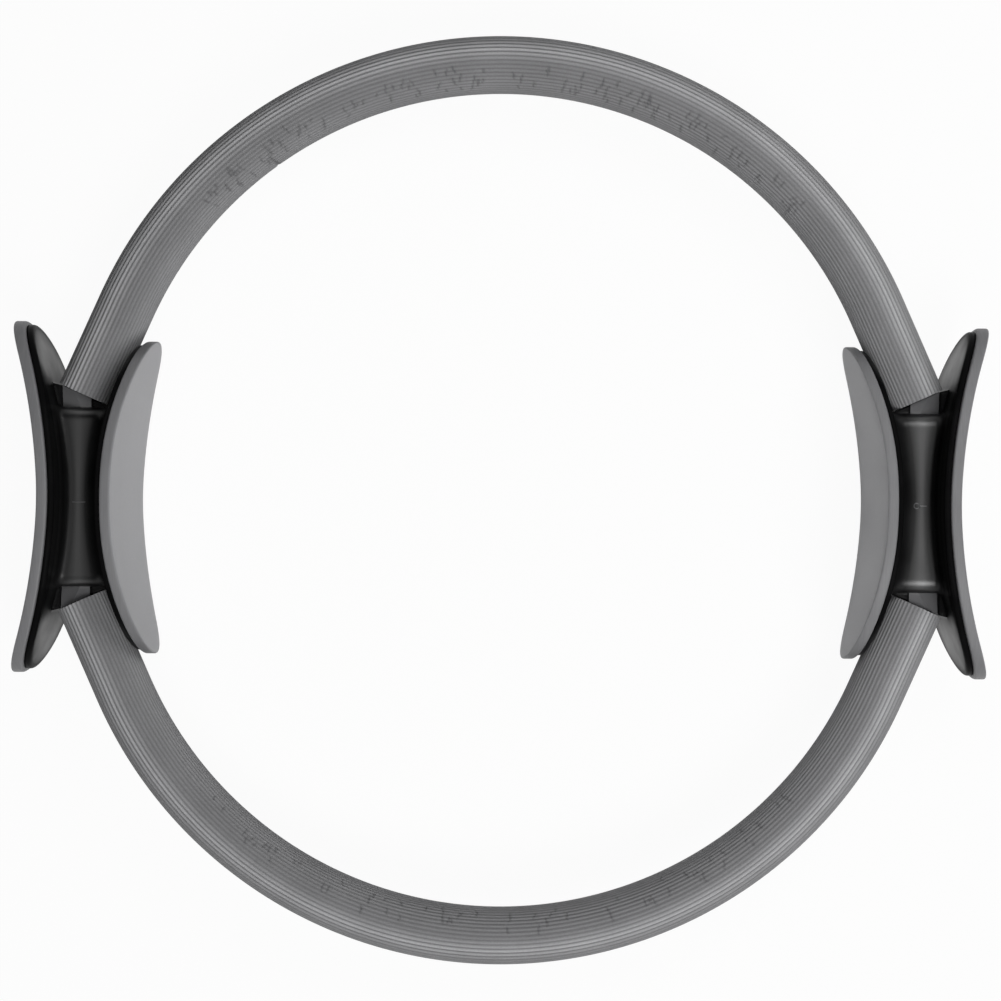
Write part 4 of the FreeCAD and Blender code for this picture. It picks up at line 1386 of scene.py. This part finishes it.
@dataclass(frozen=True)
class SoftBox:
    """A soft studio lamp that faces the ring."""

    name: str
    place: Triple
    size: float
    power: float

    def build(self) -> None:
        """Add the lamp."""
        lamp = bpy.data.lights.new(self.name, "AREA")
        lamp.shape = "SQUARE"
        lamp.size = self.size
        lamp.energy = self.power
        holder = bpy.data.objects.new(self.name, lamp)
        holder.location = self.place
        holder.visible_camera = False
        holder.rotation_euler = (-Vector(self.place)).to_track_quat("-Z", "Y").to_euler()
        bpy.context.scene.collection.objects.link(holder)


@dataclass
class Studio:
    """Camera, soft lamps, white backdrop and surroundings."""

    camera_height: float = 0.8125
    camera_aside: float = 0.014
    camera_roll: float = math.radians(0.45)
    lens: float = 72.3
    sensor: float = 36.0
    backdrop_radius: float = 6.0
    backdrop_height: float = 4.0
    backdrop_sides: int = 64
    floor_colour: Colour = (0.7, 0.7, 0.7)
    floor_glow_share: float = 0.95
    ambient: float = 0.03
    lamps: tuple[SoftBox, ...] = (
        SoftBox("key_lamp", (0.42, -0.82, 1.38), 0.7, 15.5),
        SoftBox("near_lamp", (0.3, 0.33, 0.6), 0.3, 1.6),
        SoftBox("overhead_lamp", (0.0, 0.0, 1.4), 1.0, 3.2),
    )

    def build(self) -> None:
        """Set up the whole studio."""
        scene = bpy.context.scene
        scene.view_settings.view_transform = "Standard"
        for lamp in self.lamps:
            lamp.build()
        self.add_camera(scene)
        self.add_backdrop()
        self.add_surroundings(scene)

    def add_camera(self, scene: bpy.types.Scene) -> None:
        """Add the camera a little to the right of the ring's centre, looking straight down.

        Args:
            scene: The scene that it is for.
        """
        data = bpy.data.cameras.new("camera")
        data.lens = self.lens
        data.sensor_width = self.sensor
        distance = self.camera_height - LINE.middle
        data.shift_x = -self.camera_aside * self.lens / (self.sensor * distance)
        camera = bpy.data.objects.new("camera", data)
        camera.location = (self.camera_aside, 0.0, self.camera_height)
        camera.rotation_euler = (0.0, 0.0, self.camera_roll)
        scene.collection.objects.link(camera)
        scene.camera = camera

    def add_backdrop(self) -> None:
        """Add the round floor under the ring, with a wall round it."""
        count, radius = self.backdrop_sides, self.backdrop_radius
        turns = [math.tau * side / count for side in range(count)]
        edge = [(radius * math.cos(turn), radius * math.sin(turn)) for turn in turns]
        corners = [(*spot, z) for z in (0.0, self.backdrop_height) for spot in edge]
        walls = [(n, (n + 1) % count, (n + 1) % count + count, n + count) for n in range(count)]
        mesh = bpy.data.meshes.new("backdrop")
        mesh.from_pydata(corners, [], [tuple(range(count)), *walls])
        add_object("backdrop", mesh)
        material = bpy.data.materials.new("backdrop_paint")
        material.use_nodes = True
        wiring = Wiring(material.node_tree)
        wiring.tree.nodes.clear()
        lit = wiring.node("ShaderNodeBsdfDiffuse", {"Color": (*self.floor_colour, 1.0)}).outputs[0]
        glow = wiring.node("ShaderNodeEmission", {"Strength": 1.0}).outputs[0]
        share = wiring.product(self.seen(wiring), self.floor_glow_share)
        mixed = wiring.node("ShaderNodeMixShader", {0: share, 1: lit, 2: glow}).outputs[0]
        wiring.node("ShaderNodeOutputMaterial", {"Surface": mixed})
        mesh.materials.append(material)

    def add_surroundings(self, scene: bpy.types.Scene) -> None:
        """Add surroundings that light the ring a little from all sides.

        Args:
            scene: The scene that they are for.
        """
        scene.world = bpy.data.worlds.new("surroundings")
        scene.world.use_nodes = True
        background = scene.world.node_tree.nodes["Background"]
        background.inputs["Color"].default_value = (1.0, 1.0, 1.0, 1.0)
        background.inputs["Strength"].default_value = self.ambient

    @staticmethod
    def seen(wiring: Wiring) -> Socket:
        """Tell rays that see the backdrop from rays that it would light.

        Args:
            wiring: Adds nodes to the backdrop's material.

        Returns:
            1 for rays from the camera, from gloss or through glass, and 0 for others.
        """
        path = wiring.node("ShaderNodeLightPath").outputs
        mirrored = wiring.math("MAXIMUM", path["Is Glossy Ray"], path["Is Transmission Ray"])
        return wiring.math("MAXIMUM", path["Is Camera Ray"], mirrored)


def main() -> None:
    """Build the ring's pieces and the studio."""
    logging.basicConfig(level=logging.INFO, format="%(name)s %(message)s")
    FoamSleeves().build()
    SprungCores().build()
    FoamPads().build()
    Handles().build()
    Studio().build()


if __name__ == "__main__":
    main()
